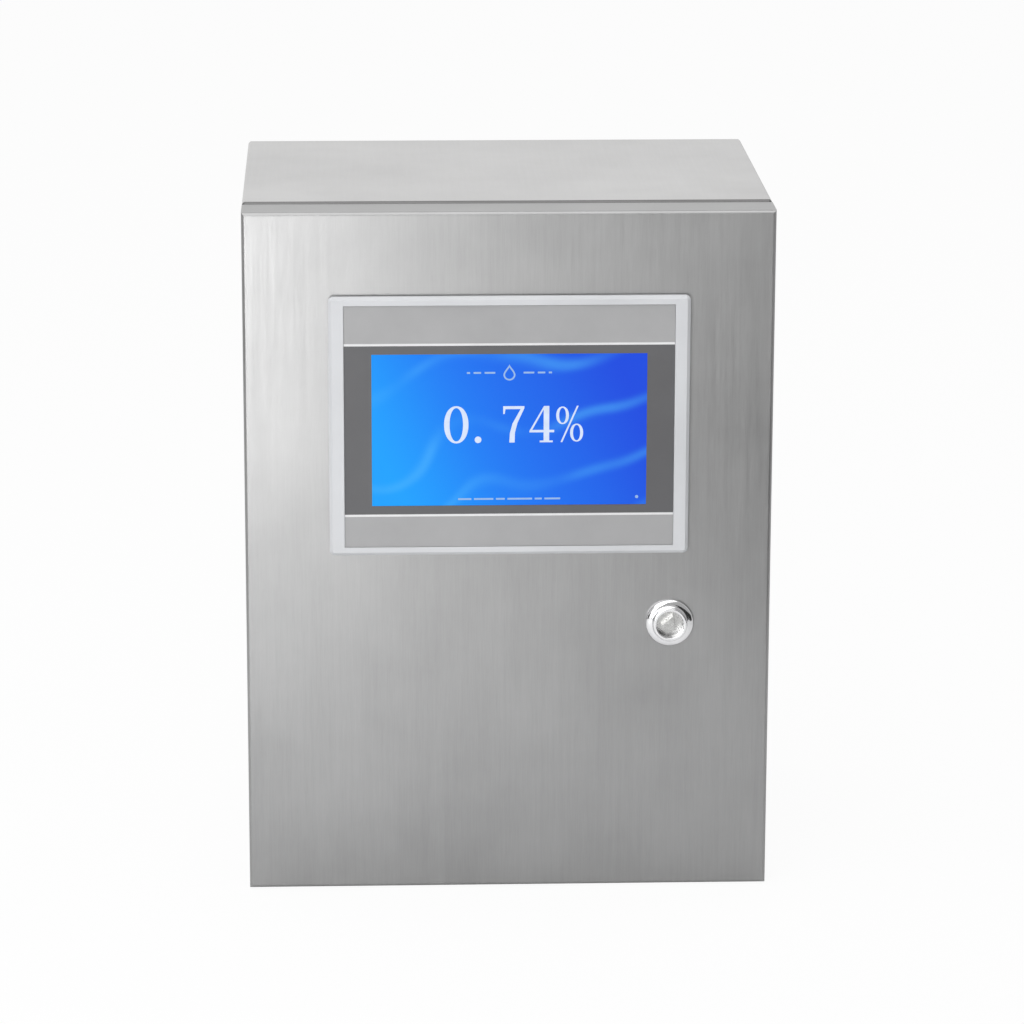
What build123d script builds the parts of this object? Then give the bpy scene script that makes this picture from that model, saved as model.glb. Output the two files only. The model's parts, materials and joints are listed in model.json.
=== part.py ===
from build123d import *
import math
import os

os.makedirs("parts", exist_ok=True)

# Moisture analyzer: a stainless wall cabinet with a panel display and a quarter-turn lock on its door
# +X is to the right, -Y is towards the front and +Z is up
# The origin is below the middle of the whole object, on the surface that it stands on

# Cabinet body
cabinet_width = 300.0
cabinet_height = 400.0
cabinet_depth = 200.0
cabinet_sheet = 1.2
side_fold_bevel = 1.2
front_fold_radius = 2.0
lip_width = 16.0
upstand_depth = 18.0
back_flange_depth = 15.0
back_corner_bevel = 2.0
wall_hole_diameter = 9.0
wall_hole_inset = 18.0

# Door
door_depth = 25.0
door_gap = 3.0
door_sheet = 1.2
door_fold_radius = 2.0
door_end_clearance = 0.8
door_gasket_width = 12.0
door_gasket_clearance = 0.3

# Hinges, concealed behind the left edge of the door
hinge_axis_inset = 6.0
hinge_axis_depth = 6.0
hinge_knuckle_width = 8.0
hinge_pin_diameter = 4.0
hinge_pin_fit = 0.02
hinge_running_clearance = 0.06
hinge_knuckle_length = 18.0
hinge_knuckle_gap = 0.3
hinge_end_distance = 70.0
hinge_leaf_thickness = 2.0
hinge_web_width = 4.0
hinge_foot_margin = 0.3
hinge_notch_depth = 12.5
hinge_notch_clearance = 2.0

# Quarter-turn lock with a triangular key drive
lock_from_right = 57.6
lock_below_panel = 117.3
lock_projection = 6.0
lock_pocket_diameter = 15.5
lock_pocket_depth = 17.0
lock_rim_width = 2.05
lock_rim_height = 3.0
lock_barrel_wall = 3.25
lock_barrel_flat_depth = 1.0
lock_barrel_length = 20.0
lock_flange_overlap = 3.0
lock_hole_clearance = 0.2
lock_nut_rim = 2.5
lock_nut_thickness = 4.5
lock_rotor_fit = 0.1
lock_neck_diameter = 10.0
lock_key_side = 8.4
lock_key_angle = 70.0
lock_key_setback = 1.4
lock_floor_setback = 5.5
lock_square = 7.0
cam_thickness = 3.0
cam_hub_diameter = 22.0
cam_arm_width = 16.0
cam_lip_overlap = 6.4
cam_crank_start = 14.0
cam_crank_end = 21.0
cam_lip_clearance = 1.3
cam_hub_clearance = 0.3
cam_screw_diameter = 5.0
cam_screw_length = 9.0
cam_screw_head_width = 8.0
cam_screw_head_thickness = 3.0

# Panel display in the door, its margins measured outwards from the screen
panel_below_top = 123.3
screen_width = 155.6
screen_height = 88.0
screen_drop = 2.0
panel_side_margin = 24.2
panel_end_margin = 31.0
panel_projection = 5.0
panel_corner_radius = 3.0
panel_bevel = 1.8
panel_gasket_thickness = 1.0
panel_gasket_width = 5.0
bezel_side_width = 8.5
bezel_end_width = 4.9
face_recess = 1.2
overlay_thickness = 0.6
glass_margin = 4.0
glass_clearance = 0.2
display_margin = 6.0
display_thickness = 6.0
display_edge_bevel = 1.0
cutout_overlap = 6.0
cutout_clearance = 1.0
housing_wall = 2.0
housing_bevel = 3.0
board_front_gap = 8.4
board_thickness = 1.6
board_margin = 7.0
board_post_length = 13.0
board_post_width = 7.0
board_post_inset = 6.0
vent_slot_width = 2.5
vent_slot_length = 14.0
vent_slot_pitch = 8.0
vent_slot_count = 12
clamp_inset = 35.0
clamp_width = 10.0
clamp_height = 12.0
clamp_length = 12.0
clamp_bevel = 1.5
clamp_rear_offset = 6.0
clamp_leg_width = 6.0
clamp_leg_height = 4.0
clamp_leg_offset = 7.0
clamp_tongue_clearance = 0.2
clamp_tongue_width = 8.0
clamp_tongue_length = 5.0
port_rear_clearance = 2.0
port_wall = 2.0
port_depth_into_case = 11.0
port_protrusion = 5.0
port_clearance = 0.3
serial_port_width = 30.8
serial_port_offset = -18.0
network_port_width = 16.0
network_port_offset = 20.0
power_port_width = 16.5
power_port_inset = 15.0
power_plug_length = 12.0
power_plug_step = 0.5
power_plug_poles = 3
power_plug_hole_width = 3.6
power_plug_hole_depth = 4.0

# Mounting plate on four hexagonal stand-offs with threaded ends, with room for a nut on each
plate_end_margin = 30.0
plate_thickness = 2.0
plate_standoff = 20.0
plate_edge_fold = 10.0
plate_fold_radius = 2.5
plate_stud_diameter = 8.0
plate_stud_inset = 15.0
plate_stud_hole_clearance = 0.5
plate_stud_free_length = 12.0
plate_collar_width = 14.0
plate_nut_width = 13.0

# Top-hat rails, 35 by 7.5
rail_height = 35.0
rail_depth = 7.5
rail_thickness = 1.0
rail_hat_height = 27.0
rail_end_margin = 13.5
rail_slot_length = 15.0
rail_slot_height = 6.2
rail_slot_pitch = 25.0
upper_rail_inset = 78.0
lower_rail_inset = 80.0
rail_clearance = 0.2
rail_hook_overlap = 1.5
rail_hook_depth = 2.0
device_gap = 5.0

# Slotted wire ducts
duct_width = 25.0
duct_depth = 40.0
duct_wall = 1.5
duct_slot_width = 8.0
duct_slot_pitch = 20.0
duct_slot_root = 12.0
duct_cover_wall = 1.5
duct_cover_skirt = 6.0
duct_cover_bevel = 0.8
duct_cover_clearance = 0.2
duct_rail_gap = 1.3
duct_end_gap = 1.0

# Two-pole circuit breaker
breaker_pole_width = 18.0
breaker_poles = 2
breaker_height = 82.0
breaker_depth = 44.0
breaker_nose_height = 45.0
breaker_nose_depth = 66.0
breaker_nose_bevel = 1.5
breaker_screw_inset = 8.0
breaker_screw_window = 6.5
breaker_screw_window_depth = 8.0
breaker_wire_window = 9.0
breaker_wire_window_depth = 8.0
toggle_drum_diameter = 18.0
toggle_drum_fit = 0.1
toggle_pivot_setback = 5.0
toggle_width = 26.0
toggle_side_clearance = 0.4
toggle_reach = 19.0
toggle_thickness = 4.4
toggle_taper = 0.6
toggle_half_throw = 38.0

# Power supply
supply_width = 40.0
supply_height = 90.0
supply_depth = 80.0
supply_step_height = 14.0
supply_step_depth = 16.0
supply_terminal_margin = 3.0
supply_terminal_count = 4
supply_cover_margin = 3.0
supply_cover_side_margin = 1.5
supply_cover_thickness = 1.5
supply_cover_bevel = 2.0
supply_vent_count = 6
supply_vent_width = 2.5
supply_vent_depth = 2.0
supply_vent_end_margin = 7.5
indicator_width = 3.0
indicator_inset = 8.0

# Measuring module
module_width = 71.0
module_height = 90.0
module_depth = 58.0
module_step_height = 16.0
module_step_depth = 20.0
module_nose_radius = 1.5
module_front_margin = 1.5
module_front_thickness = 2.0
module_front_bevel = 2.0
module_plug_margin = 4.0
module_plug_poles = 4
module_plug_clearance = 0.5
module_plug_gap = 3.0
sensor_socket_count = 2
sensor_socket_spacing = 24.0
sensor_socket_width = 15.0
sensor_socket_length = 10.0
sensor_socket_wall = 1.5
sensor_socket_drop = 8.0
indicator_spacing = 8.0
indicator_count = 4

# Windows in the strips of screw terminals
strip_wall = 1.4
strip_screw_window_depth = 4.0
strip_wire_window_depth = 3.5

# Terminal row on the lower rail
terminal_width = 6.2
terminal_gap = 0.1
terminal_count = 6
earth_terminal_count = 2
terminal_base_height = 46.0
terminal_top_height = 26.0
terminal_shoulder_depth = 22.0
terminal_shoulder_slope = 4.0
terminal_depth = 40.0
terminal_screw_spacing = 15.0
terminal_window = 4.0
terminal_screw_window_depth = 7.0
terminal_wire_window_depth = 6.0
end_bracket_width = 9.0
end_bracket_height = 44.0
end_bracket_step_height = 11.0
end_bracket_depth = 34.0
end_bracket_step_depth = 17.0

# Cable entry: a frame of rectangular grommets over an opening in the floor
grommet_count = 5
grommet_width = 18.0
grommet_depth = 32.0
grommet_bar = 3.0
grommet_fit = 0.1
grommet_lip = 1.0
grommet_lip_thickness = 1.5
grommet_wall = 2.5
grommet_membrane = 2.0
entry_end_margin = 3.5
entry_side_margin = 3.0
entry_lug_length = 16.0
entry_lug_thickness = 5.0
entry_flange_width = 6.0
entry_frame_height = 14.0
entry_gasket_thickness = 1.5

# Earthing studs
earth_stud_diameter = 6.0
earth_stud_length = 16.0
earth_nut_width = 10.0
earth_nut_thickness = 5.0
door_earth_side_inset = 14.6
door_earth_end_inset = 10.6
body_earth_side_inset = 24.0
body_earth_back_inset = 57.0

# Places worked out from the sizes above
front_reach = max(lock_projection, panel_projection)
y_back = (cabinet_depth + door_gap + door_depth + front_reach) / 2
y_back_inside = y_back - cabinet_sheet
y_lip = y_back - cabinet_depth
y_door_rear = y_lip - door_gap
y_door_front = y_door_rear - door_depth
y_door_inside = y_door_front + door_sheet
x_side = cabinet_width / 2
z_middle = cabinet_height / 2
inner_width = cabinet_width - 2 * cabinet_sheet
inner_height = cabinet_height - 2 * cabinet_sheet
opening_width = cabinet_width - 2 * lip_width
opening_height = cabinet_height - 2 * lip_width
upstand_width = opening_width + 2 * cabinet_sheet
upstand_height = opening_height + 2 * cabinet_sheet
door_height = cabinet_height - 2 * door_end_clearance
y_upstand_tip = y_lip - upstand_depth
gasket_middle_width = upstand_width - cabinet_sheet
gasket_middle_height = upstand_height - cabinet_sheet

# Hinge places
hinge_x = -x_side + hinge_axis_inset
hinge_y = y_door_rear - hinge_axis_depth
hinge_heights = [hinge_end_distance, cabinet_height - hinge_end_distance]

# Display sizes and places
panel_width = screen_width + 2 * panel_side_margin
panel_height = screen_height + 2 * panel_end_margin
panel_z = cabinet_height - panel_below_top
screen_z = panel_z - screen_drop
face_width = panel_width - 2 * bezel_side_width
face_height = panel_height - 2 * bezel_end_width
glass_width = screen_width + 2 * glass_margin
glass_height = screen_height + 2 * glass_margin
cutout_width = panel_width - 2 * cutout_overlap
cutout_height = panel_height - 2 * cutout_overlap
housing_width = cutout_width - 2 * cutout_clearance
housing_height = cutout_height - 2 * cutout_clearance
housing_depth = display_thickness + board_front_gap + board_thickness + board_post_length + housing_wall
y_bezel_front = y_door_front - panel_projection
y_bezel_rear = y_door_front - panel_gasket_thickness
y_face = y_bezel_front + face_recess
y_housing_rear = y_bezel_rear + housing_depth
y_board_rear = y_housing_rear - housing_wall - board_post_length
board_width = housing_width - 2 * housing_wall - 2 * board_margin
board_height = housing_height - 2 * housing_wall - 2 * board_margin
y_clamp_rear = y_housing_rear - clamp_rear_offset
y_clamp_front = y_clamp_rear - clamp_length
port_depth = board_post_length - port_rear_clearance
power_port_offset = housing_width / 2 - power_port_inset

# Lock sizes and places
lock_x = x_side - lock_from_right
lock_height = panel_z - lock_below_panel
lock_rim_diameter = lock_pocket_diameter + 2 * lock_rim_width
lock_barrel_diameter = lock_pocket_diameter + 2 * lock_barrel_wall
lock_barrel_flats = lock_barrel_diameter - 2 * lock_barrel_flat_depth
lock_flange_diameter = lock_barrel_diameter + 2 * lock_flange_overlap
lock_nut_width = lock_barrel_diameter + 2 * lock_nut_rim
cam_reach = lock_from_right - lip_width + cam_lip_overlap
y_lock_hub = y_door_front + lock_barrel_length + cam_hub_clearance
y_cam_arm = y_lip + cabinet_sheet + cam_lip_clearance
y_cam_rear = y_cam_arm + cam_thickness

# Devices side by side on the upper rail, from the left
breaker_width = breaker_poles * breaker_pole_width
device_row_width = supply_width + breaker_width + module_width + 2 * device_gap
supply_left = -device_row_width / 2
breaker_left = supply_left + supply_width + device_gap
module_left = breaker_left + breaker_width + device_gap

# Mounting plate, as wide as the rails with a wire duct at each side
duct_side_margin = duct_cover_clearance + duct_cover_wall
rail_length = device_row_width + 2 * rail_end_margin
plate_width = rail_length + 2 * (duct_rail_gap + duct_width + duct_side_margin)
plate_height = cabinet_height - 2 * plate_end_margin
y_plate_rear = y_back_inside - plate_standoff
y_plate_front = y_plate_rear - plate_thickness
y_rail_front = y_plate_front - rail_depth
y_flange_rear = y_rail_front + rail_thickness
y_device_rear = y_flange_rear + rail_clearance + rail_hook_depth
plate_stud_spacing_x = plate_width - 2 * plate_stud_inset
plate_stud_spacing_z = plate_height - 2 * plate_stud_inset

# Rail heights, with the middle duct halfway between the devices and the terminal row
upper_rail_height = z_middle + plate_height / 2 - upper_rail_inset
lower_rail_height = z_middle - plate_height / 2 + lower_rail_inset
device_height = max(supply_height, breaker_height, module_height)
terminal_row_height = max(terminal_base_height, end_bracket_height)
middle_duct_height = (
    upper_rail_height - device_height / 2 + lower_rail_height + terminal_row_height / 2
) / 2

# Cable entry sizes and places
entry_y = (y_back + y_lip) / 2
grommet_pitch = grommet_width + grommet_bar
entry_opening_width = grommet_count * grommet_pitch + 2 * entry_end_margin
entry_opening_depth = grommet_depth + 2 * entry_side_margin
entry_frame_width = entry_opening_width + 2 * entry_lug_length
entry_frame_depth = entry_opening_depth + 2 * entry_flange_width
z_entry_frame = cabinet_sheet + entry_gasket_thickness


def front_plane(y, x=0.0, z=0.0):
    """Sketch plane seen from the front, +Z up. An extrude from it goes to the front."""
    return Plane(origin=(x, y, z), x_dir=(1, 0, 0), z_dir=(0, -1, 0))


def side_plane(x, y=0.0, z=0.0):
    """Sketch plane whose first axis is +Y and second is +Z. An extrude goes to the right."""
    return Plane(origin=(x, y, z), x_dir=(0, 1, 0), z_dir=(1, 0, 0))


def floor_plane(z, x=0.0, y=0.0):
    """Sketch plane seen from above. An extrude from it goes up."""
    return Plane(origin=(x, y, z), x_dir=(1, 0, 0), z_dir=(0, 0, 1))


def hex_bar(plane, places, width, length):
    """Hexagonal bars, as wide across flats as given, at the places on a plane."""
    with BuildSketch(plane) as outline:
        with Locations(*places):
            RegularPolygon(width / 2, 6, major_radius=False)
    extrude(outline.sketch, amount=length)


def round_bar(plane, places, radius, length, mode=Mode.ADD):
    """Round bars or holes at the places given on a plane."""
    with BuildSketch(plane) as outline:
        with Locations(*places):
            Circle(radius)
    extrude(outline.sketch, amount=length, mode=mode)


def block(plane, width, height, length, mode=Mode.ADD):
    """A rectangular block or pocket, drawn on the plane and extruded from it."""
    with BuildSketch(plane) as outline:
        Rectangle(width, height)
    extrude(outline.sketch, amount=length, mode=mode)


def corners(spacing_a, spacing_b):
    """Four places at the corners of a rectangle."""
    return [(a * spacing_a / 2, b * spacing_b / 2) for a in (-1, 1) for b in (-1, 1)]


# Cabinet shell: folded wrapper with the front lip and the upstand that meets the door gasket
with BuildPart() as cabinet_shell:
    block(front_plane(y_back, z=z_middle), cabinet_width, cabinet_height, cabinet_depth)
    chamfer(cabinet_shell.edges().filter_by(Axis.Y), length=side_fold_bevel)
    block(
        front_plane(y_back, z=z_middle),
        inner_width,
        inner_height,
        cabinet_depth - cabinet_sheet,
        mode=Mode.SUBTRACT,
    )
    block(
        front_plane(y_lip, z=z_middle),
        opening_width,
        opening_height,
        -cabinet_sheet,
        mode=Mode.SUBTRACT,
    )
    lip_face = cabinet_shell.faces().sort_by(Axis.Y)[0]
    fillet(lip_face.outer_wire().edges(), radius=front_fold_radius)
    with BuildSketch(front_plane(y_lip, z=z_middle)):
        Rectangle(upstand_width, upstand_height)
        Rectangle(opening_width, opening_height, mode=Mode.SUBTRACT)
    extrude(amount=upstand_depth)
    block(
        floor_plane(0, y=entry_y),
        entry_opening_width,
        entry_opening_depth,
        cabinet_sheet,
        mode=Mode.SUBTRACT,
    )
cabinet_shell.part.label = "cabinet_shell"
export_step(cabinet_shell.part, "parts/cabinet_shell.step")

# Back panel: pan set into the wrapper, with the four wall holes
wall_hole_spacing_x = cabinet_width - 2 * wall_hole_inset
wall_hole_spacing_z = cabinet_height - 2 * wall_hole_inset
with BuildPart() as back_panel:
    block(front_plane(y_back, z=z_middle), inner_width, inner_height, back_flange_depth)
    chamfer(back_panel.edges().filter_by(Axis.Y), length=back_corner_bevel)
    offset(amount=-cabinet_sheet, openings=back_panel.faces().sort_by(Axis.Y)[0])
    round_bar(
        front_plane(y_back, z=z_middle),
        corners(wall_hole_spacing_x, wall_hole_spacing_z),
        wall_hole_diameter / 2,
        cabinet_sheet,
        mode=Mode.SUBTRACT,
    )
back_panel.part.label = "back_panel"
export_step(back_panel.part, "parts/back_panel.step")

# Hexagonal stand-offs, whose threaded ends reach through the mounting plate
stud_places = corners(plate_stud_spacing_x, plate_stud_spacing_z)
with BuildPart() as plate_studs:
    collar_plane = front_plane(y_back_inside, z=z_middle)
    hex_bar(collar_plane, stud_places, plate_collar_width, plate_standoff)
    round_bar(
        collar_plane.offset(plate_standoff),
        stud_places,
        plate_stud_diameter / 2,
        plate_thickness + plate_stud_free_length,
    )
plate_studs.part.label = "plate_studs"
export_step(plate_studs.part, "parts/plate_studs.step")

# Mounting plate with its long edges folded back and square punched holes for the studs
with BuildPart() as mounting_plate:
    fold_length = plate_thickness + plate_edge_fold
    with BuildSketch(floor_plane(z_middle - plate_height / 2)):
        with BuildLine():
            Polyline(
                (-plate_width / 2, y_plate_front + fold_length),
                (-plate_width / 2, y_plate_front),
                (plate_width / 2, y_plate_front),
                (plate_width / 2, y_plate_front + fold_length),
                (plate_width / 2 - plate_thickness, y_plate_front + fold_length),
                (plate_width / 2 - plate_thickness, y_plate_rear),
                (-plate_width / 2 + plate_thickness, y_plate_rear),
                (-plate_width / 2 + plate_thickness, y_plate_front + fold_length),
                close=True,
            )
        make_face()
    extrude(amount=plate_height)
    outer_folds = mounting_plate.edges().filter_by(Axis.Z).group_by(Axis.Y)[0]
    fillet(outer_folds, radius=plate_fold_radius)
    with BuildSketch(front_plane(y_plate_rear, z=z_middle)):
        with Locations(*stud_places):
            stud_hole_width = plate_stud_diameter + 2 * plate_stud_hole_clearance
            Rectangle(stud_hole_width, stud_hole_width)
    extrude(amount=plate_thickness, mode=Mode.SUBTRACT)
mounting_plate.part.label = "mounting_plate"
export_step(mounting_plate.part, "parts/mounting_plate.step")


def top_hat_rail(rail_z):
    """A slotted 35 mm top-hat rail, centred on the plate."""
    hat_half = rail_hat_height / 2
    flange_height = (rail_height - rail_hat_height) / 2 + rail_thickness
    flange_offset = (rail_height - flange_height) / 2
    with BuildPart() as rail:
        with BuildSketch(side_plane(-rail_length / 2, y_plate_front, rail_z)):
            with Locations((-rail_thickness / 2, 0)):
                Rectangle(rail_thickness, rail_hat_height)
            with Locations((-rail_depth / 2, hat_half - rail_thickness / 2)):
                Rectangle(rail_depth, rail_thickness)
            with Locations((-rail_depth / 2, -hat_half + rail_thickness / 2)):
                Rectangle(rail_depth, rail_thickness)
            with Locations((-rail_depth + rail_thickness / 2, flange_offset)):
                Rectangle(rail_thickness, flange_height)
            with Locations((-rail_depth + rail_thickness / 2, -flange_offset)):
                Rectangle(rail_thickness, flange_height)
        extrude(amount=rail_length)
        slot_count = int(rail_length / rail_slot_pitch)
        with BuildSketch(front_plane(y_plate_front, z=rail_z)):
            with GridLocations(rail_slot_pitch, 1, slot_count, 1):
                Rectangle(rail_slot_length, rail_slot_height)
        extrude(amount=rail_thickness, mode=Mode.SUBTRACT)
    return rail


din_rail_upper = top_hat_rail(upper_rail_height)
din_rail_upper.part.label = "din_rail_upper"
export_step(din_rail_upper.part, "parts/din_rail_upper.step")

din_rail_lower = top_hat_rail(lower_rail_height)
din_rail_lower.part.label = "din_rail_lower"
export_step(din_rail_lower.part, "parts/din_rail_lower.step")


def cut_rail_slot(x, rail_z, width):
    """The slot in the back of a device that takes the rail flanges behind two hooks."""
    slot_depth = y_flange_rear + rail_clearance - y_rail_front
    mouth_depth = y_device_rear - y_rail_front
    with BuildSketch(side_plane(x, y_rail_front, rail_z)) as outline:
        with Locations((slot_depth / 2, 0)):
            Rectangle(slot_depth, rail_height + 2 * rail_clearance)
        with Locations((mouth_depth / 2, 0)):
            Rectangle(mouth_depth, rail_height - 2 * rail_hook_overlap)
    extrude(outline.sketch, amount=width, mode=Mode.SUBTRACT)


def stepped_case(x, rail_z, width, height, depth, step_height, step_depth):
    """A rail-mounted case whose front steps back above and below for the terminals."""
    rear = y_device_rear - y_rail_front
    with BuildSketch(side_plane(x, y_rail_front, rail_z)) as outline:
        with Locations(((rear - depth + step_depth) / 2, 0)):
            Rectangle(rear + depth - step_depth, height)
        with Locations(((rear - depth) / 2, 0)):
            Rectangle(rear + depth, height - 2 * step_height)
    extrude(outline.sketch, amount=width)


def wire_duct(plane, length):
    """A U-shaped duct with finger slots in both walls, drawn on the plate face."""
    with BuildPart() as duct:
        with BuildSketch(plane):
            Rectangle(duct_width, length)
        extrude(amount=duct_depth - duct_cover_wall)
        with BuildSketch(plane.offset(duct_wall)):
            Rectangle(duct_width - 2 * duct_wall, length)
        extrude(amount=duct_depth, mode=Mode.SUBTRACT)
        slot_count = int((length - duct_slot_pitch) / duct_slot_pitch)
        with BuildSketch(plane.offset(duct_slot_root)):
            with GridLocations(1, duct_slot_pitch, 1, slot_count):
                Rectangle(duct_width, duct_slot_width)
        extrude(amount=duct_depth, mode=Mode.SUBTRACT)
    return duct


def duct_cover(plane, length):
    """The snap-on cover of a wire duct: a lid with two skirts outside the walls."""
    inside_width = duct_width + 2 * duct_cover_clearance
    with BuildPart() as cover:
        with BuildSketch(plane.offset(duct_depth - duct_cover_wall - duct_cover_skirt)):
            Rectangle(inside_width + 2 * duct_cover_wall, length)
        extrude(amount=duct_cover_skirt + duct_cover_wall)
        chamfer(cover.faces().sort_by(Axis.Y)[0].edges(), length=duct_cover_bevel)
        with BuildSketch(plane.offset(duct_depth - duct_cover_wall - duct_cover_skirt)):
            Rectangle(inside_width, length)
        extrude(amount=duct_cover_skirt, mode=Mode.SUBTRACT)
    return cover


# Wire ducts: two upright ones at the plate's edges and one across between them
side_duct_x = plate_width / 2 - duct_width / 2 - duct_side_margin
side_duct_height = plate_height - 2 * (plate_stud_inset + plate_nut_width)
middle_duct_length = 2 * (side_duct_x - duct_width / 2 - duct_side_margin - duct_end_gap)
left_duct_plane = front_plane(y_plate_front, x=-side_duct_x, z=z_middle)
right_duct_plane = front_plane(y_plate_front, x=side_duct_x, z=z_middle)
middle_duct_plane = Plane(
    origin=(0, y_plate_front, middle_duct_height), x_dir=(0, 0, 1), z_dir=(0, -1, 0)
)

wire_duct_left = wire_duct(left_duct_plane, side_duct_height)
wire_duct_left.part.label = "wire_duct_left"
export_step(wire_duct_left.part, "parts/wire_duct_left.step")

wire_duct_right = wire_duct(right_duct_plane, side_duct_height)
wire_duct_right.part.label = "wire_duct_right"
export_step(wire_duct_right.part, "parts/wire_duct_right.step")

wire_duct_middle = wire_duct(middle_duct_plane, middle_duct_length)
wire_duct_middle.part.label = "wire_duct_middle"
export_step(wire_duct_middle.part, "parts/wire_duct_middle.step")

duct_cover_left = duct_cover(left_duct_plane, side_duct_height)
duct_cover_left.part.label = "duct_cover_left"
export_step(duct_cover_left.part, "parts/duct_cover_left.step")

duct_cover_right = duct_cover(right_duct_plane, side_duct_height)
duct_cover_right.part.label = "duct_cover_right"
export_step(duct_cover_right.part, "parts/duct_cover_right.step")

duct_cover_middle = duct_cover(middle_duct_plane, middle_duct_length)
duct_cover_middle.part.label = "duct_cover_middle"
export_step(duct_cover_middle.part, "parts/duct_cover_middle.step")

# Circuit breaker case: two poles side by side, with a drum pocket for the tied toggle
breaker_x = breaker_left + breaker_width / 2
y_breaker_shoulder = y_rail_front - breaker_depth
y_breaker_nose = y_rail_front - breaker_nose_depth
y_toggle = y_breaker_nose + toggle_pivot_setback
with BuildPart() as breaker_case:
    stepped_case(
        breaker_left,
        upper_rail_height,
        breaker_width,
        breaker_height,
        breaker_nose_depth,
        (breaker_height - breaker_nose_height) / 2,
        breaker_nose_depth - breaker_depth,
    )
    cut_rail_slot(breaker_left, upper_rail_height, breaker_width)
    nose_edges = breaker_case.faces().sort_by(Axis.Y)[0].edges().filter_by(Axis.X)
    chamfer(nose_edges, length=breaker_nose_bevel)
    pocket_width = toggle_width + 2 * toggle_side_clearance
    round_bar(
        side_plane(breaker_x - pocket_width / 2, y_toggle, upper_rail_height),
        [(0, 0)],
        toggle_drum_diameter / 2 + toggle_drum_fit,
        pocket_width,
        mode=Mode.SUBTRACT,
    )
    screw_row_spacing = breaker_height - 2 * breaker_screw_inset
    with BuildSketch(front_plane(y_breaker_shoulder, x=breaker_x, z=upper_rail_height)):
        with GridLocations(breaker_pole_width, screw_row_spacing, breaker_poles, 2):
            Rectangle(breaker_screw_window, breaker_screw_window)
    extrude(amount=-breaker_screw_window_depth, mode=Mode.SUBTRACT)
    wire_y = y_breaker_shoulder + breaker_screw_window_depth + breaker_wire_window
    for side in (-1, 1):
        wire_plane = floor_plane(upper_rail_height + side * breaker_height / 2, x=breaker_x, y=wire_y)
        with BuildSketch(wire_plane):
            with GridLocations(breaker_pole_width, 1, breaker_poles, 1):
                Rectangle(breaker_wire_window, breaker_wire_window)
        extrude(amount=-side * breaker_wire_window_depth, mode=Mode.SUBTRACT)
breaker_case.part.label = "breaker_case"
export_step(breaker_case.part, "parts/breaker_case.step")

# Breaker toggle: the drum that turns in the pocket, and the lever, which stands up in the rest position
toggle_plane = side_plane(breaker_x - toggle_width / 2, y_toggle, upper_rail_height)
with BuildPart() as breaker_toggle:
    round_bar(toggle_plane, [(0, 0)], toggle_drum_diameter / 2, toggle_width)
    throw = math.radians(toggle_half_throw)
    lever_direction = (0, -math.cos(throw), math.sin(throw))
    with BuildSketch(Plane(origin=toggle_plane.origin, x_dir=lever_direction, z_dir=(1, 0, 0))):
        with BuildLine():
            Polyline(
                (0, toggle_thickness / 2 + toggle_taper),
                (toggle_reach, toggle_thickness / 2 - toggle_taper),
                (toggle_reach, -toggle_thickness / 2 + toggle_taper),
                (0, -toggle_thickness / 2 - toggle_taper),
                close=True,
            )
        make_face()
    extrude(amount=toggle_width)
breaker_toggle.part.label = "breaker_toggle"
export_step(breaker_toggle.part, "parts/breaker_toggle.step")

# Power supply: case with vent grooves, front cover and two rows of screw terminals
supply_x = supply_left + supply_width / 2
y_supply_front = y_rail_front - supply_depth
y_supply_step = y_supply_front + supply_step_depth
with BuildPart() as power_supply_case:
    stepped_case(
        supply_left,
        upper_rail_height,
        supply_width,
        supply_height,
        supply_depth,
        supply_step_height,
        supply_step_depth,
    )
    cut_rail_slot(supply_left, upper_rail_height, supply_width)
    vent_length = supply_depth - supply_step_depth - 2 * supply_vent_end_margin
    vent_y = y_supply_step + vent_length / 2 + supply_vent_end_margin
    for side in (-1, 1):
        vent_plane = floor_plane(upper_rail_height + side * supply_height / 2, x=supply_x, y=vent_y)
        with BuildSketch(vent_plane):
            with GridLocations(supply_width / (supply_vent_count + 1), 1, supply_vent_count, 1):
                Rectangle(supply_vent_width, vent_length)
        extrude(amount=-side * supply_vent_depth, mode=Mode.SUBTRACT)
power_supply_case.part.label = "power_supply_case"
export_step(power_supply_case.part, "parts/power_supply_case.step")

with BuildPart() as power_supply_cover:
    cover_plane = front_plane(y_supply_front, x=supply_x, z=upper_rail_height)
    cover_width = supply_width - 2 * supply_cover_side_margin
    cover_height = supply_height - 2 * supply_step_height - 2 * supply_cover_margin
    block(cover_plane, cover_width, cover_height, supply_cover_thickness)
    chamfer(power_supply_cover.edges().filter_by(Axis.Y), length=supply_cover_bevel)
    with BuildSketch(cover_plane):
        with Locations((cover_width / 2 - indicator_inset, cover_height / 2 - indicator_inset)):
            Rectangle(indicator_width, indicator_width)
    extrude(amount=supply_cover_thickness, mode=Mode.SUBTRACT)
power_supply_cover.part.label = "power_supply_cover"
export_step(power_supply_cover.part, "parts/power_supply_cover.step")


def terminal_strip(x, z, y_seat, width, height, depth, poles):
    """A strip of screw terminals: one screw window to the front and one wire window for each pole."""
    side = 1 if z > upper_rail_height else -1
    pitch = width / poles
    window = pitch - 2 * strip_wall
    plane = front_plane(y_seat, x=x, z=z)
    block(plane, width, height, depth)
    with BuildSketch(plane.offset(depth)) as screw_windows:
        with GridLocations(pitch, 1, poles, 1):
            Rectangle(window, window)
    extrude(screw_windows.sketch, amount=-strip_screw_window_depth, mode=Mode.SUBTRACT)
    with BuildSketch(floor_plane(z + side * height / 2, x=x, y=y_seat - depth / 2)) as wire_windows:
        with GridLocations(pitch, 1, poles, 1):
            Rectangle(window, window)
    extrude(wire_windows.sketch, amount=-side * strip_wire_window_depth, mode=Mode.SUBTRACT)


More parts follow.
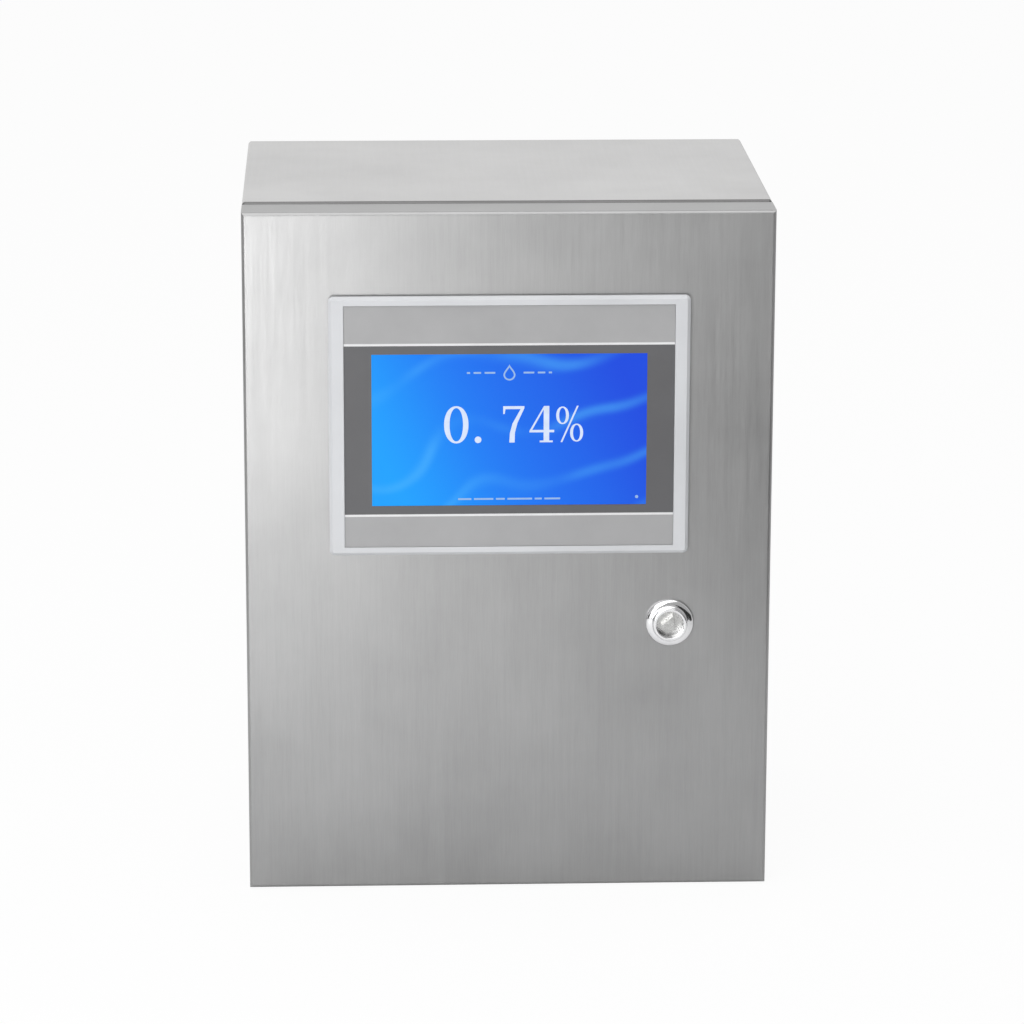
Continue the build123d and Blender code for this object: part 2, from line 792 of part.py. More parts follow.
with BuildPart() as power_supply_terminals:
    terminal_offset = supply_height / 2 - supply_step_height / 2
    for side in (-1, 1):
        terminal_strip(
            supply_x,
            upper_rail_height + side * terminal_offset,
            y_supply_step,
            supply_width - 2 * supply_terminal_margin,
            supply_step_height - 2 * terminal_gap,
            supply_step_depth - supply_cover_thickness,
            supply_terminal_count,
        )
power_supply_terminals.part.label = "power_supply_terminals"
export_step(power_supply_terminals.part, "parts/power_supply_terminals.step")

# Measuring module: case, front cover, pluggable terminals and the shielded sockets for the sensor
module_x = module_left + module_width / 2
y_module_front = y_rail_front - module_depth
y_module_step = y_module_front + module_step_depth
with BuildPart() as measuring_module_case:
    stepped_case(
        module_left,
        upper_rail_height,
        module_width,
        module_height,
        module_depth,
        module_step_height,
        module_step_depth,
    )
    cut_rail_slot(module_left, upper_rail_height, module_width)
    module_nose_edges = measuring_module_case.faces().sort_by(Axis.Y)[0].edges().filter_by(Axis.X)
    fillet(module_nose_edges, radius=module_nose_radius)
measuring_module_case.part.label = "measuring_module_case"
export_step(measuring_module_case.part, "parts/measuring_module_case.step")

with BuildPart() as measuring_module_front:
    module_face_plane = front_plane(y_module_front, x=module_x, z=upper_rail_height)
    module_front_height = module_height - 2 * module_step_height - 2 * module_front_margin
    block(
        module_face_plane,
        module_width - 2 * module_front_margin,
        module_front_height,
        module_front_thickness,
    )
    chamfer(measuring_module_front.edges().filter_by(Axis.Y), length=module_front_bevel)
    with BuildSketch(module_face_plane.offset(module_front_thickness)):
        with Locations((0, module_front_height / 2 - indicator_inset)):
            with GridLocations(indicator_spacing, 1, indicator_count, 1):
                Rectangle(indicator_width, indicator_width)
    extrude(amount=-module_front_thickness / 2, mode=Mode.SUBTRACT)
measuring_module_front.part.label = "measuring_module_front"
export_step(measuring_module_front.part, "parts/measuring_module_front.step")

with BuildPart() as module_terminal_plugs:
    plug_width = (module_width - module_plug_gap) / 2 - module_plug_margin
    plug_z = module_height / 2 - module_step_height / 2
    for side in (-1, 1):
        for column in (-1, 1):
            terminal_strip(
                module_x + column * (plug_width + module_plug_gap) / 2,
                upper_rail_height + side * plug_z,
                y_module_step,
                plug_width,
                module_step_height - 2 * module_plug_clearance,
                module_step_depth - module_plug_gap,
                module_plug_poles,
            )
module_terminal_plugs.part.label = "module_terminal_plugs"
export_step(module_terminal_plugs.part, "parts/module_terminal_plugs.step")

with BuildPart() as sensor_sockets:
    socket_seat_y = y_module_front - module_front_thickness
    socket_plane = front_plane(socket_seat_y, x=module_x, z=upper_rail_height - sensor_socket_drop)
    with BuildSketch(socket_plane):
        with GridLocations(sensor_socket_spacing, 1, sensor_socket_count, 1):
            Rectangle(sensor_socket_width, sensor_socket_width)
    extrude(amount=sensor_socket_length)
    with BuildSketch(socket_plane.offset(sensor_socket_length)):
        with GridLocations(sensor_socket_spacing, 1, sensor_socket_count, 1):
            socket_bore_width = sensor_socket_width - 2 * sensor_socket_wall
            Rectangle(socket_bore_width, socket_bore_width)
    extrude(amount=-(sensor_socket_length - sensor_socket_wall), mode=Mode.SUBTRACT)
sensor_sockets.part.label = "sensor_sockets"
export_step(sensor_sockets.part, "parts/sensor_sockets.step")


def rail_terminals(x_left, count):
    """A row of rail-mounted screw terminals, each a thin slice of the same stepped outline."""
    pitch = terminal_width + terminal_gap
    rear = y_device_rear - y_rail_front
    slope_end = terminal_shoulder_depth + terminal_shoulder_slope
    with BuildPart() as row:
        with BuildSketch(side_plane(x_left, y_rail_front, lower_rail_height)):
            with BuildLine():
                Polyline(
                    (rear, -terminal_base_height / 2),
                    (-terminal_shoulder_depth, -terminal_base_height / 2),
                    (-slope_end, -terminal_top_height / 2),
                    (-terminal_depth, -terminal_top_height / 2),
                    (-terminal_depth, terminal_top_height / 2),
                    (-slope_end, terminal_top_height / 2),
                    (-terminal_shoulder_depth, terminal_base_height / 2),
                    (rear, terminal_base_height / 2),
                    close=True,
                )
            make_face()
        extrude(amount=terminal_width)
        cut_rail_slot(x_left, lower_rail_height, terminal_width)
        middle_x = x_left + terminal_width / 2
        for side in (-1, 1):
            screw_z = lower_rail_height + side * terminal_screw_spacing / 2
            screw_entry = front_plane(y_rail_front - terminal_depth, x=middle_x, z=screw_z)
            block(
                screw_entry,
                terminal_window,
                terminal_window,
                -terminal_screw_window_depth,
                mode=Mode.SUBTRACT,
            )
            wire_entry = floor_plane(
                lower_rail_height + side * terminal_base_height / 2,
                x=middle_x,
                y=y_rail_front - terminal_shoulder_depth / 2,
            )
            block(
                wire_entry,
                terminal_window,
                terminal_window,
                -side * terminal_wire_window_depth,
                mode=Mode.SUBTRACT,
            )
        first = row.part
        for index in range(1, count):
            with Locations((index * pitch, 0, 0)):
                add(first)
    return row


# Terminal row, centred on the rail: end bracket, through terminals, earth terminals, end bracket
terminal_pitch = terminal_width + terminal_gap
terminals_width = (terminal_count + earth_terminal_count) * terminal_pitch
terminals_left = -terminals_width / 2 + terminal_gap
earth_left = terminals_left + terminal_count * terminal_pitch
bracket_places = (-terminals_width / 2 - end_bracket_width, terminals_width / 2 + terminal_gap)
terminal_blocks = rail_terminals(terminals_left, terminal_count)
terminal_blocks.part.label = "terminal_blocks"
export_step(terminal_blocks.part, "parts/terminal_blocks.step")

earth_terminals = rail_terminals(earth_left, earth_terminal_count)
earth_terminals.part.label = "earth_terminals"
export_step(earth_terminals.part, "parts/earth_terminals.step")

with BuildPart() as end_brackets:
    for bracket_left in bracket_places:
        stepped_case(
            bracket_left,
            lower_rail_height,
            end_bracket_width,
            end_bracket_height,
            end_bracket_depth,
            end_bracket_step_height,
            end_bracket_step_depth,
        )
        cut_rail_slot(bracket_left, lower_rail_height, end_bracket_width)
        bracket_x = bracket_left + end_bracket_width / 2
        block(
            front_plane(y_rail_front - end_bracket_depth, x=bracket_x, z=lower_rail_height),
            terminal_window,
            terminal_window,
            -terminal_screw_window_depth,
            mode=Mode.SUBTRACT,
        )
end_brackets.part.label = "end_brackets"
export_step(end_brackets.part, "parts/end_brackets.step")

# Cable entry over the floor opening: gasket, and a frame with lugs and a window for each grommet
with BuildPart() as cable_entry_gasket:
    with BuildSketch(floor_plane(cabinet_sheet, y=entry_y)):
        Rectangle(entry_opening_width + 2 * entry_flange_width, entry_frame_depth)
        Rectangle(entry_opening_width, entry_opening_depth, mode=Mode.SUBTRACT)
    extrude(amount=entry_gasket_thickness)
cable_entry_gasket.part.label = "cable_entry_gasket"
export_step(cable_entry_gasket.part, "parts/cable_entry_gasket.step")

entry_plane = floor_plane(z_entry_frame, y=entry_y)
with BuildPart() as cable_entry_frame:
    block(entry_plane, entry_frame_width, entry_frame_depth, entry_lug_thickness)
    block(entry_plane, entry_opening_width, entry_opening_depth, entry_frame_height)
    with BuildSketch(entry_plane):
        with GridLocations(grommet_pitch, 1, grommet_count, 1):
            Rectangle(grommet_width + 2 * grommet_fit, grommet_depth + 2 * grommet_fit)
    extrude(amount=entry_frame_height, mode=Mode.SUBTRACT)
cable_entry_frame.part.label = "cable_entry_frame"
export_step(cable_entry_frame.part, "parts/cable_entry_frame.step")

# Grommets: each a soft cup with a lip on the frame and a thin top to be pierced by a cable
with BuildPart() as cable_grommets:
    grommet_top_plane = entry_plane.offset(entry_frame_height)
    with BuildSketch(entry_plane):
        with GridLocations(grommet_pitch, 1, grommet_count, 1):
            Rectangle(grommet_width, grommet_depth)
    extrude(amount=entry_frame_height)
    with BuildSketch(grommet_top_plane):
        with GridLocations(grommet_pitch, 1, grommet_count, 1):
            Rectangle(grommet_width + 2 * grommet_lip, grommet_depth + 2 * grommet_lip)
    extrude(amount=grommet_lip_thickness)
    with BuildSketch(entry_plane):
        with GridLocations(grommet_pitch, 1, grommet_count, 1):
            Rectangle(grommet_width - 2 * grommet_wall, grommet_depth - 2 * grommet_wall)
    cup_depth = entry_frame_height + grommet_lip_thickness - grommet_membrane
    extrude(amount=cup_depth, mode=Mode.SUBTRACT)
cable_grommets.part.label = "cable_grommets"
export_step(cable_grommets.part, "parts/cable_grommets.step")

# Earthing stud with its nut on the floor of the cabinet
body_earth_x = -x_side + body_earth_side_inset
body_earth_y = y_back - body_earth_back_inset
with BuildPart() as body_earth_stud:
    body_earth_plane = floor_plane(cabinet_sheet, x=body_earth_x, y=body_earth_y)
    round_bar(body_earth_plane, [(0, 0)], earth_stud_diameter / 2, earth_stud_length)
    hex_bar(body_earth_plane, [(0, 0)], earth_nut_width, earth_nut_thickness)
body_earth_stud.part.label = "body_earth_stud"
export_step(body_earth_stud.part, "parts/body_earth_stud.step")

# Body leaves of the hinges: lower knuckle, web and the foot welded to the lip
upstand_outer_x = -upstand_width / 2
with BuildPart() as hinge_body_leaves:
    foot_right = upstand_outer_x - hinge_foot_margin - hinge_x
    foot_width = foot_right + hinge_web_width / 2
    for hinge_z in hinge_heights:
        with BuildSketch(floor_plane(hinge_z - hinge_knuckle_length, x=hinge_x, y=hinge_y)):
            Rectangle(hinge_knuckle_width, hinge_knuckle_width)
            with Locations((0, (y_lip - hinge_y) / 2)):
                Rectangle(hinge_web_width, y_lip - hinge_y)
            with Locations((foot_right - foot_width / 2, y_lip - hinge_y - hinge_leaf_thickness / 2)):
                Rectangle(foot_width, hinge_leaf_thickness)
            Circle(hinge_pin_diameter / 2 + hinge_pin_fit, mode=Mode.SUBTRACT)
        extrude(amount=hinge_knuckle_length)
hinge_body_leaves.part.label = "hinge_body_leaves"
export_step(hinge_body_leaves.part, "parts/hinge_body_leaves.step")

with BuildPart() as hinge_pins:
    for hinge_z in hinge_heights:
        pin_plane = floor_plane(hinge_z - hinge_knuckle_length, x=hinge_x, y=hinge_y)
        round_bar(pin_plane, [(0, 0)], hinge_pin_diameter / 2, 2 * hinge_knuckle_length)
hinge_pins.part.label = "hinge_pins"
export_step(hinge_pins.part, "parts/hinge_pins.step")

# Door leaves of the hinges: upper knuckle on a web welded to the inside of the door
with BuildPart() as hinge_door_leaves:
    web_left = -hinge_knuckle_width / 2
    web_right = -(gasket_middle_width + door_gasket_width) / 2 - hinge_x - hinge_foot_margin
    for hinge_z in hinge_heights:
        with BuildSketch(floor_plane(hinge_z + hinge_knuckle_gap, x=hinge_x, y=hinge_y)):
            Rectangle(hinge_knuckle_width, hinge_knuckle_width)
            with Locations(((web_left + web_right) / 2, (y_door_inside - hinge_y) / 2)):
                Rectangle(web_right - web_left, hinge_y - y_door_inside)
            Circle(hinge_pin_diameter / 2 + hinge_running_clearance, mode=Mode.SUBTRACT)
        extrude(amount=hinge_knuckle_length)
hinge_door_leaves.part.label = "hinge_door_leaves"
export_step(hinge_door_leaves.part, "parts/hinge_door_leaves.step")

# Door: folded pan with the display cut-out, the lock hole and notches that clear the hinges
with BuildPart() as door_panel:
    block(front_plane(y_door_rear, z=z_middle), cabinet_width, door_height, door_depth)
    door_face = door_panel.faces().sort_by(Axis.Y)[0]
    fillet(door_face.edges(), radius=door_fold_radius)
    offset(amount=-door_sheet, openings=door_panel.faces().sort_by(Axis.Y)[-1])
    block(front_plane(y_door_inside, z=panel_z), cutout_width, cutout_height, door_sheet, mode=Mode.SUBTRACT)
    with BuildSketch(front_plane(y_door_inside, x=lock_x, z=lock_height)):
        Circle(lock_barrel_diameter / 2 + lock_hole_clearance)
        Rectangle(lock_barrel_diameter * 2, lock_barrel_flats + 2 * lock_hole_clearance, mode=Mode.INTERSECT)
    extrude(amount=door_sheet, mode=Mode.SUBTRACT)
    notch_height = 2 * hinge_knuckle_length + 2 * hinge_notch_clearance
    for hinge_z in hinge_heights:
        notch_plane = side_plane(-x_side, y_door_rear - hinge_notch_depth / 2, hinge_z)
        block(notch_plane, hinge_notch_depth, notch_height, 2 * door_sheet, mode=Mode.SUBTRACT)
door_panel.part.label = "door_panel"
export_step(door_panel.part, "parts/door_panel.step")

# Foam gasket inside the door, centred on the upstand and just clear of its tip
with BuildPart() as door_gasket:
    gasket_thickness = y_upstand_tip - door_gasket_clearance - y_door_inside
    with BuildSketch(front_plane(y_door_inside, z=z_middle)):
        Rectangle(gasket_middle_width + door_gasket_width, gasket_middle_height + door_gasket_width)
        Rectangle(
            gasket_middle_width - door_gasket_width,
            gasket_middle_height - door_gasket_width,
            mode=Mode.SUBTRACT,
        )
    extrude(amount=-gasket_thickness)
door_gasket.part.label = "door_gasket"
export_step(door_gasket.part, "parts/door_gasket.step")

# Earthing stud with its nut on the inside of the door
door_earth_x = -(gasket_middle_width - door_gasket_width) / 2 + door_earth_side_inset
door_earth_z = z_middle - (gasket_middle_height - door_gasket_width) / 2 + door_earth_end_inset
with BuildPart() as door_earth_stud:
    door_earth_plane = front_plane(y_door_inside, x=door_earth_x, z=door_earth_z)
    round_bar(door_earth_plane, [(0, 0)], earth_stud_diameter / 2, -earth_stud_length)
    hex_bar(door_earth_plane, [(0, 0)], earth_nut_width, -earth_nut_thickness)
door_earth_stud.part.label = "door_earth_stud"
export_step(door_earth_stud.part, "parts/door_earth_stud.step")

# Display bezel: bevelled frame with a recess for the front film and a window for the glass
bezel_thickness = panel_projection - panel_gasket_thickness
with BuildPart() as display_bezel:
    with BuildSketch(front_plane(y_bezel_rear, z=panel_z)):
        RectangleRounded(panel_width, panel_height, panel_corner_radius)
    extrude(amount=bezel_thickness)
    chamfer(display_bezel.faces().sort_by(Axis.Y)[0].edges(), length=panel_bevel)
    block(front_plane(y_face, z=panel_z), face_width, face_height, face_recess, mode=Mode.SUBTRACT)
    block(
        front_plane(y_bezel_rear, z=screen_z),
        glass_width + 2 * glass_clearance,
        glass_height + 2 * glass_clearance,
        bezel_thickness,
        mode=Mode.SUBTRACT,
    )
display_bezel.part.label = "display_bezel"
export_step(display_bezel.part, "parts/display_bezel.step")

with BuildPart() as display_overlay:
    with BuildSketch(front_plane(y_face, z=panel_z)):
        Rectangle(face_width - 2 * glass_clearance, face_height - 2 * glass_clearance)
        with Locations((0, -screen_drop)):
            Rectangle(screen_width, screen_height, mode=Mode.SUBTRACT)
    extrude(amount=overlay_thickness)
display_overlay.part.label = "display_overlay"
export_step(display_overlay.part, "parts/display_overlay.step")

with BuildPart() as touch_glass:
    block(front_plane(y_bezel_rear, z=screen_z), glass_width, glass_height, y_bezel_rear - y_face)
touch_glass.part.label = "touch_glass"
export_step(touch_glass.part, "parts/touch_glass.step")

with BuildPart() as display_module:
    display_width = glass_width + 2 * display_margin
    display_height = glass_height + 2 * display_margin
    block(front_plane(y_bezel_rear, z=screen_z), display_width, display_height, -display_thickness)
    chamfer(display_module.faces().sort_by(Axis.Y)[-1].edges(), length=display_edge_bevel)
display_module.part.label = "display_module"
export_step(display_module.part, "parts/display_module.step")

with BuildPart() as display_gasket:
    with BuildSketch(front_plane(y_door_front, z=panel_z)):
        Rectangle(cutout_width + 2 * panel_gasket_width, cutout_height + 2 * panel_gasket_width)
        Rectangle(cutout_width, cutout_height, mode=Mode.SUBTRACT)
    extrude(amount=panel_gasket_thickness)
display_gasket.part.label = "display_gasket"
export_step(display_gasket.part, "parts/display_gasket.step")

# Data ports on the underside of the display's housing, as (middle, width)
data_ports = [(serial_port_offset, serial_port_width), (network_port_offset, network_port_width)]
port_places = data_ports + [(power_port_offset, power_port_width)]
z_housing_bottom = panel_z - housing_height / 2
clamp_places = corners(housing_width - 2 * clamp_inset, housing_height)

# Rear housing of the display: shell with vents, port openings and slots for the clamps
with BuildPart() as display_housing:
    block(front_plane(y_housing_rear, z=panel_z), housing_width, housing_height, housing_depth)
    chamfer(display_housing.edges().filter_by(Axis.Y), length=housing_bevel)
    rear_edges = display_housing.faces().sort_by(Axis.Y)[-1].edges()
    chamfer(rear_edges, length=housing_bevel)
    offset(amount=-housing_wall, openings=display_housing.faces().sort_by(Axis.Y)[0])
    post_places = corners(board_width - 2 * board_post_inset, board_height - 2 * board_post_inset)
    post_plane = front_plane(y_housing_rear - housing_wall, z=panel_z)
    hex_bar(post_plane, post_places, board_post_width, board_post_length)
    with BuildSketch(front_plane(y_housing_rear, z=panel_z + housing_height / 4)):
        with GridLocations(vent_slot_pitch, 1, vent_slot_count, 1):
            Rectangle(vent_slot_width, vent_slot_length)
    extrude(amount=housing_wall, mode=Mode.SUBTRACT)
    for port_x, port_width in port_places:
        block(
            floor_plane(z_housing_bottom, x=port_x, y=y_board_rear + port_depth / 2),
            port_width + 2 * port_clearance,
            port_depth + 2 * port_clearance,
            housing_wall,
            mode=Mode.SUBTRACT,
        )
    for clamp_x, clamp_z in clamp_places:
        inward = -1 if clamp_z > 0 else 1
        slot_plane = floor_plane(panel_z + clamp_z, x=clamp_x, y=(y_clamp_front + y_clamp_rear) / 2)
        block(slot_plane, clamp_tongue_width, clamp_tongue_length, inward * housing_wall, mode=Mode.SUBTRACT)
display_housing.part.label = "display_housing"
export_step(display_housing.part, "parts/display_housing.step")

# Main board on the posts, with its chips as (x, z, width, height)
board_chips = [
    (-20.0, 14.0, 22.0, 2.2),
    (12.0, 18.0, 12.0, 1.4),
    (12.0, 2.0, 12.0, 1.4),
    (46.0, 20.0, 16.0, 4.0),
    (-56.0, -18.0, 18.0, 3.0),
]
with BuildPart() as display_mainboard:
    block(front_plane(y_board_rear, z=panel_z), board_width, board_height, board_thickness)
    for chip_x, chip_z, chip_width, chip_height in board_chips:
        chip_plane = front_plane(y_board_rear - board_thickness, x=chip_x, z=panel_z + chip_z)
        block(chip_plane, chip_width, chip_width, chip_height)
display_mainboard.part.label = "display_mainboard"
export_step(display_mainboard.part, "parts/display_mainboard.step")

# Connectors soldered to the board, reaching out through the underside of the housing
y_port = y_board_rear + port_depth / 2
with BuildPart() as display_ports:
    for port_x, port_width in data_ports:
        port_plane = floor_plane(z_housing_bottom - port_protrusion, x=port_x, y=y_port)
        block(port_plane, port_width, port_depth, port_protrusion + port_depth_into_case)
        block(
            port_plane,
            port_width - 2 * port_wall,
            port_depth - 2 * port_wall,
            port_protrusion,
            mode=Mode.SUBTRACT,
        )
    power_port_plane = floor_plane(z_housing_bottom, x=power_port_offset, y=y_port)
    block(power_port_plane, power_port_width, port_depth, port_depth_into_case)
display_ports.part.label = "display_ports"
export_step(display_ports.part, "parts/display_ports.step")

with BuildPart() as display_power_plug:
    plug_depth = port_depth - 2 * power_plug_step
    block(power_port_plane, power_port_width, plug_depth, -power_plug_length)
    with BuildSketch(power_port_plane.offset(-power_plug_length)):
        with GridLocations(power_port_width / power_plug_poles, 1, power_plug_poles, 1):
            Rectangle(power_plug_hole_width, power_plug_hole_width)
    extrude(amount=power_plug_hole_depth, mode=Mode.SUBTRACT)
    screw_face_z = z_housing_bottom - power_plug_length / 2
    with BuildSketch(front_plane(y_port + plug_depth / 2, x=power_port_offset, z=screw_face_z)):
        with GridLocations(power_port_width / power_plug_poles, 1, power_plug_poles, 1):
            Rectangle(power_plug_hole_width, power_plug_hole_width)
    extrude(amount=power_plug_hole_depth / 2, mode=Mode.SUBTRACT)
display_power_plug.part.label = "display_power_plug"
export_step(display_power_plug.part, "parts/display_power_plug.step")

# Clamps hooked into the housing, whose legs press against the door and pull the bezel to it
with BuildPart() as display_clamps:
    tongue_cut = 2 * clamp_tongue_clearance
    for clamp_x, clamp_z in clamp_places:
        outward = 1 if clamp_z > 0 else -1
        z_seat = panel_z + clamp_z
        seat_plane = floor_plane(z_seat, x=clamp_x, y=(y_clamp_front + y_clamp_rear) / 2)
        block(seat_plane, clamp_width, clamp_length, outward * clamp_height)
        block(
            seat_plane,
            clamp_tongue_width - tongue_cut,
            clamp_tongue_length - tongue_cut,
            -outward * (housing_wall - clamp_tongue_clearance),
        )
        leg_plane = front_plane(y_clamp_front, x=clamp_x, z=z_seat + outward * clamp_leg_offset)
        block(leg_plane, clamp_leg_width, clamp_leg_height, y_clamp_front - y_door_inside)
    clamp_edges = display_clamps.edges().filter_by(Axis.X).group_by(Axis.Z)
    chamfer(clamp_edges[0] + clamp_edges[-1], length=clamp_bevel)
display_clamps.part.label = "display_clamps"
export_step(display_clamps.part, "parts/display_clamps.step")

# Lock housing: flange with a raised rim, flatted barrel through the door, stepped bore for the rotor
pocket_radius = lock_pocket_diameter / 2
y_lock_front = y_door_front - lock_projection
y_barrel_rear = y_door_front + lock_barrel_length
y_pocket_floor = y_lock_front + lock_pocket_depth
with BuildPart() as lock_housing:
    lock_plane = front_plane(y_door_front, x=lock_x, z=lock_height)
    for disc_diameter, disc_height in (
        (lock_flange_diameter, lock_projection - lock_rim_height),
        (lock_rim_diameter, lock_projection),
    ):
        with BuildSketch(lock_plane):
            Circle(disc_diameter / 2)
            Circle(pocket_radius, mode=Mode.SUBTRACT)
        extrude(amount=disc_height)
    with BuildSketch(lock_plane):
        Circle(lock_barrel_diameter / 2)
        Rectangle(lock_barrel_diameter * 2, lock_barrel_flats, mode=Mode.INTERSECT)
        Circle(pocket_radius, mode=Mode.SUBTRACT)
    extrude(amount=-(y_barrel_rear - y_door_front))
    with BuildSketch(front_plane(y_barrel_rear, x=lock_x, z=lock_height)):
        Circle(pocket_radius)
        Circle(lock_neck_diameter / 2 + lock_rotor_fit, mode=Mode.SUBTRACT)
    extrude(amount=y_barrel_rear - y_pocket_floor)
lock_housing.part.label = "lock_housing"
export_step(lock_housing.part, "parts/lock_housing.step")

with BuildPart() as lock_nut:
    nut_plane = front_plane(y_door_inside, x=lock_x, z=lock_height)
    hex_bar(nut_plane, [(0, 0)], lock_nut_width, -lock_nut_thickness)
    nut_bore_radius = lock_barrel_diameter / 2 + lock_rotor_fit
    round_bar(nut_plane, [(0, 0)], nut_bore_radius, -lock_nut_thickness, mode=Mode.SUBTRACT)
lock_nut.part.label = "lock_nut"
export_step(lock_nut.part, "parts/lock_nut.step")

# Lock rotor: triangular key drive in the pocket, head, neck through the barrel and square for the cam
with BuildPart() as lock_rotor:
    y_rotor_face = y_lock_front + lock_floor_setback
    y_rotor_shoulder = y_pocket_floor - lock_rotor_fit
    rotor_plane = front_plane(y_rotor_shoulder, x=lock_x, z=lock_height)
    round_bar(rotor_plane, [(0, 0)], pocket_radius - lock_rotor_fit, y_rotor_shoulder - y_rotor_face)
    key_radius = lock_key_side / math.sqrt(3)
    with BuildSketch(front_plane(y_rotor_face, x=lock_x, z=lock_height)):
        RegularPolygon(key_radius, 3, rotation=lock_key_angle)
    extrude(amount=lock_floor_setback - lock_key_setback)
    round_bar(rotor_plane, [(0, 0)], lock_neck_diameter / 2, -(y_lock_hub - y_rotor_shoulder))
    block(
        front_plane(y_lock_hub, x=lock_x, z=lock_height),
        lock_square,
        lock_square,
        -(cam_thickness - lock_rotor_fit),
    )
    round_bar(
        front_plane(y_lock_hub + cam_thickness, x=lock_x, z=lock_height),
        [(0, 0)],
        cam_screw_diameter / 2 + lock_rotor_fit,
        cam_screw_length + lock_rotor_fit,
        mode=Mode.SUBTRACT,
    )
lock_rotor.part.label = "lock_rotor"
export_step(lock_rotor.part, "parts/lock_rotor.step")

# Cranked cam: hub on the square, a joggle and the arm that turns behind the cabinet's lip
with BuildPart() as lock_cam:
    with BuildSketch(front_plane(y_lock_hub, x=lock_x, z=lock_height)):
        Circle(cam_hub_diameter / 2)
        with Locations((0, -cam_crank_start / 2)):
            Rectangle(cam_arm_width, cam_crank_start)
    extrude(amount=-cam_thickness)
    with BuildSketch(side_plane(lock_x - cam_arm_width / 2, 0, lock_height)):
        with BuildLine():
            Polyline(
                (y_lock_hub, -cam_crank_start),
                (y_cam_arm, -cam_crank_end),
                (y_cam_arm, -cam_reach),
                (y_cam_rear, -cam_reach),
                (y_cam_rear, -cam_crank_end + cam_thickness / 2),
                (y_lock_hub + cam_thickness, -cam_crank_start + cam_thickness / 2),
                (y_lock_hub, -cam_crank_start + cam_thickness / 2),
                close=True,
            )
        make_face()
    extrude(amount=cam_arm_width)
    tip_corners = lock_cam.edges().filter_by(Axis.Y).group_by(Axis.Z)[0]
    fillet(tip_corners, radius=cam_arm_width / 4)
    block(
        front_plane(y_lock_hub, x=lock_x, z=lock_height),
        lock_square,
        lock_square,
        -cam_thickness,
        mode=Mode.SUBTRACT,
    )
lock_cam.part.label = "lock_cam"
export_step(lock_cam.part, "parts/lock_cam.step")

with BuildPart() as cam_screw:
    cam_screw_plane = front_plane(y_lock_hub + cam_thickness, x=lock_x, z=lock_height)
    round_bar(cam_screw_plane, [(0, 0)], cam_screw_diameter / 2, cam_screw_length)
    hex_bar(cam_screw_plane, [(0, 0)], cam_screw_head_width, -cam_screw_head_thickness)
cam_screw.part.label = "cam_screw"
export_step(cam_screw.part, "parts/cam_screw.step")
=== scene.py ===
import json
import math

import bmesh
import bpy
from mathutils import Matrix, Vector
from mathutils.geometry import tessellate_polygon


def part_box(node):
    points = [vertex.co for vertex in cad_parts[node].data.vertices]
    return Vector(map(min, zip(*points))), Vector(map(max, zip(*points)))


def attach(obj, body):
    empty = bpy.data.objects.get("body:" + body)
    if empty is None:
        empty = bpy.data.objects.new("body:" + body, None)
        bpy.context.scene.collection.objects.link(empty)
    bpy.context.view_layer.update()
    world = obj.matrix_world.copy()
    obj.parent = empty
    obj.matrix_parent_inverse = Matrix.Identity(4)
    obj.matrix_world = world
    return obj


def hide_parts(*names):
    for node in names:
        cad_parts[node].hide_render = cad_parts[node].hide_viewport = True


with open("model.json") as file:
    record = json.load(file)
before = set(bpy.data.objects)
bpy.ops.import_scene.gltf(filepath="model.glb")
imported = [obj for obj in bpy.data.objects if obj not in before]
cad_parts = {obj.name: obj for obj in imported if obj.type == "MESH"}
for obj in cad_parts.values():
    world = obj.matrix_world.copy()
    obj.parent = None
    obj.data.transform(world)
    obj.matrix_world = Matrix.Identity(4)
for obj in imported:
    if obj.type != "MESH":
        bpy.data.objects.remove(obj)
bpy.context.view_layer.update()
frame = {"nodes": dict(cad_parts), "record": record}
nodes = frame["nodes"]
scene = bpy.context.scene

MM = 0.001
FRONT = (0, -1, 0)
UP = (0, 0, 1)


# Small helpers for node trees

def feed(tree, socket, value):
    """Links a socket to another one, or gives it a constant value."""
    if isinstance(value, bpy.types.NodeSocket):
        tree.links.new(value, socket)
    else:
        socket.default_value = value


def add(tree, kind, inputs=None, **settings):
    node = tree.nodes.new(kind)
    for name, value in settings.items():
        setattr(node, name, value)
    for key, value in (inputs or {}).items():
        feed(tree, node.inputs[key], value)
    return node


def where(tree):
    """The place on the surface in metres, in the object's own coordinates."""
    return add(tree, "ShaderNodeTexCoord").outputs["Object"]


def place(tree, scale=(1, 1, 1)):
    """The place on the surface, stretched by the scale given."""
    return add(tree, "ShaderNodeMapping", {"Vector": where(tree), "Scale": scale}).outputs["Vector"]


def axes(tree, vector):
    """The X, Y and Z of a vector."""
    return add(tree, "ShaderNodeSeparateXYZ", {0: vector}).outputs


def noise(tree, vector, scale, detail=3.0, roughness=0.55):
    values = {"Vector": vector, "Scale": scale, "Detail": detail, "Roughness": roughness}
    return add(tree, "ShaderNodeTexNoise", values).outputs[0]


def spread(tree, value, low, high, start=0.3, end=0.7):
    """Maps the middle of a noise to the range given."""
    values = {"Value": value, "From Min": start, "From Max": end, "To Min": low, "To Max": high}
    return add(tree, "ShaderNodeMapRange", values).outputs[0]


def calc(tree, operation, a, b=0.0):
    return add(tree, "ShaderNodeMath", {0: a, 1: b}, operation=operation).outputs[0]


def scaled(tree, colour, factor):
    """A colour times a factor that varies over the surface."""
    return add(tree, "ShaderNodeVectorMath", {0: colour, "Scale": factor}, operation="SCALE").outputs[0]


def bump(tree, height, strength, distance):
    values = {"Height": height, "Strength": strength, "Distance": distance}
    return add(tree, "ShaderNodeBump", values).outputs[0]


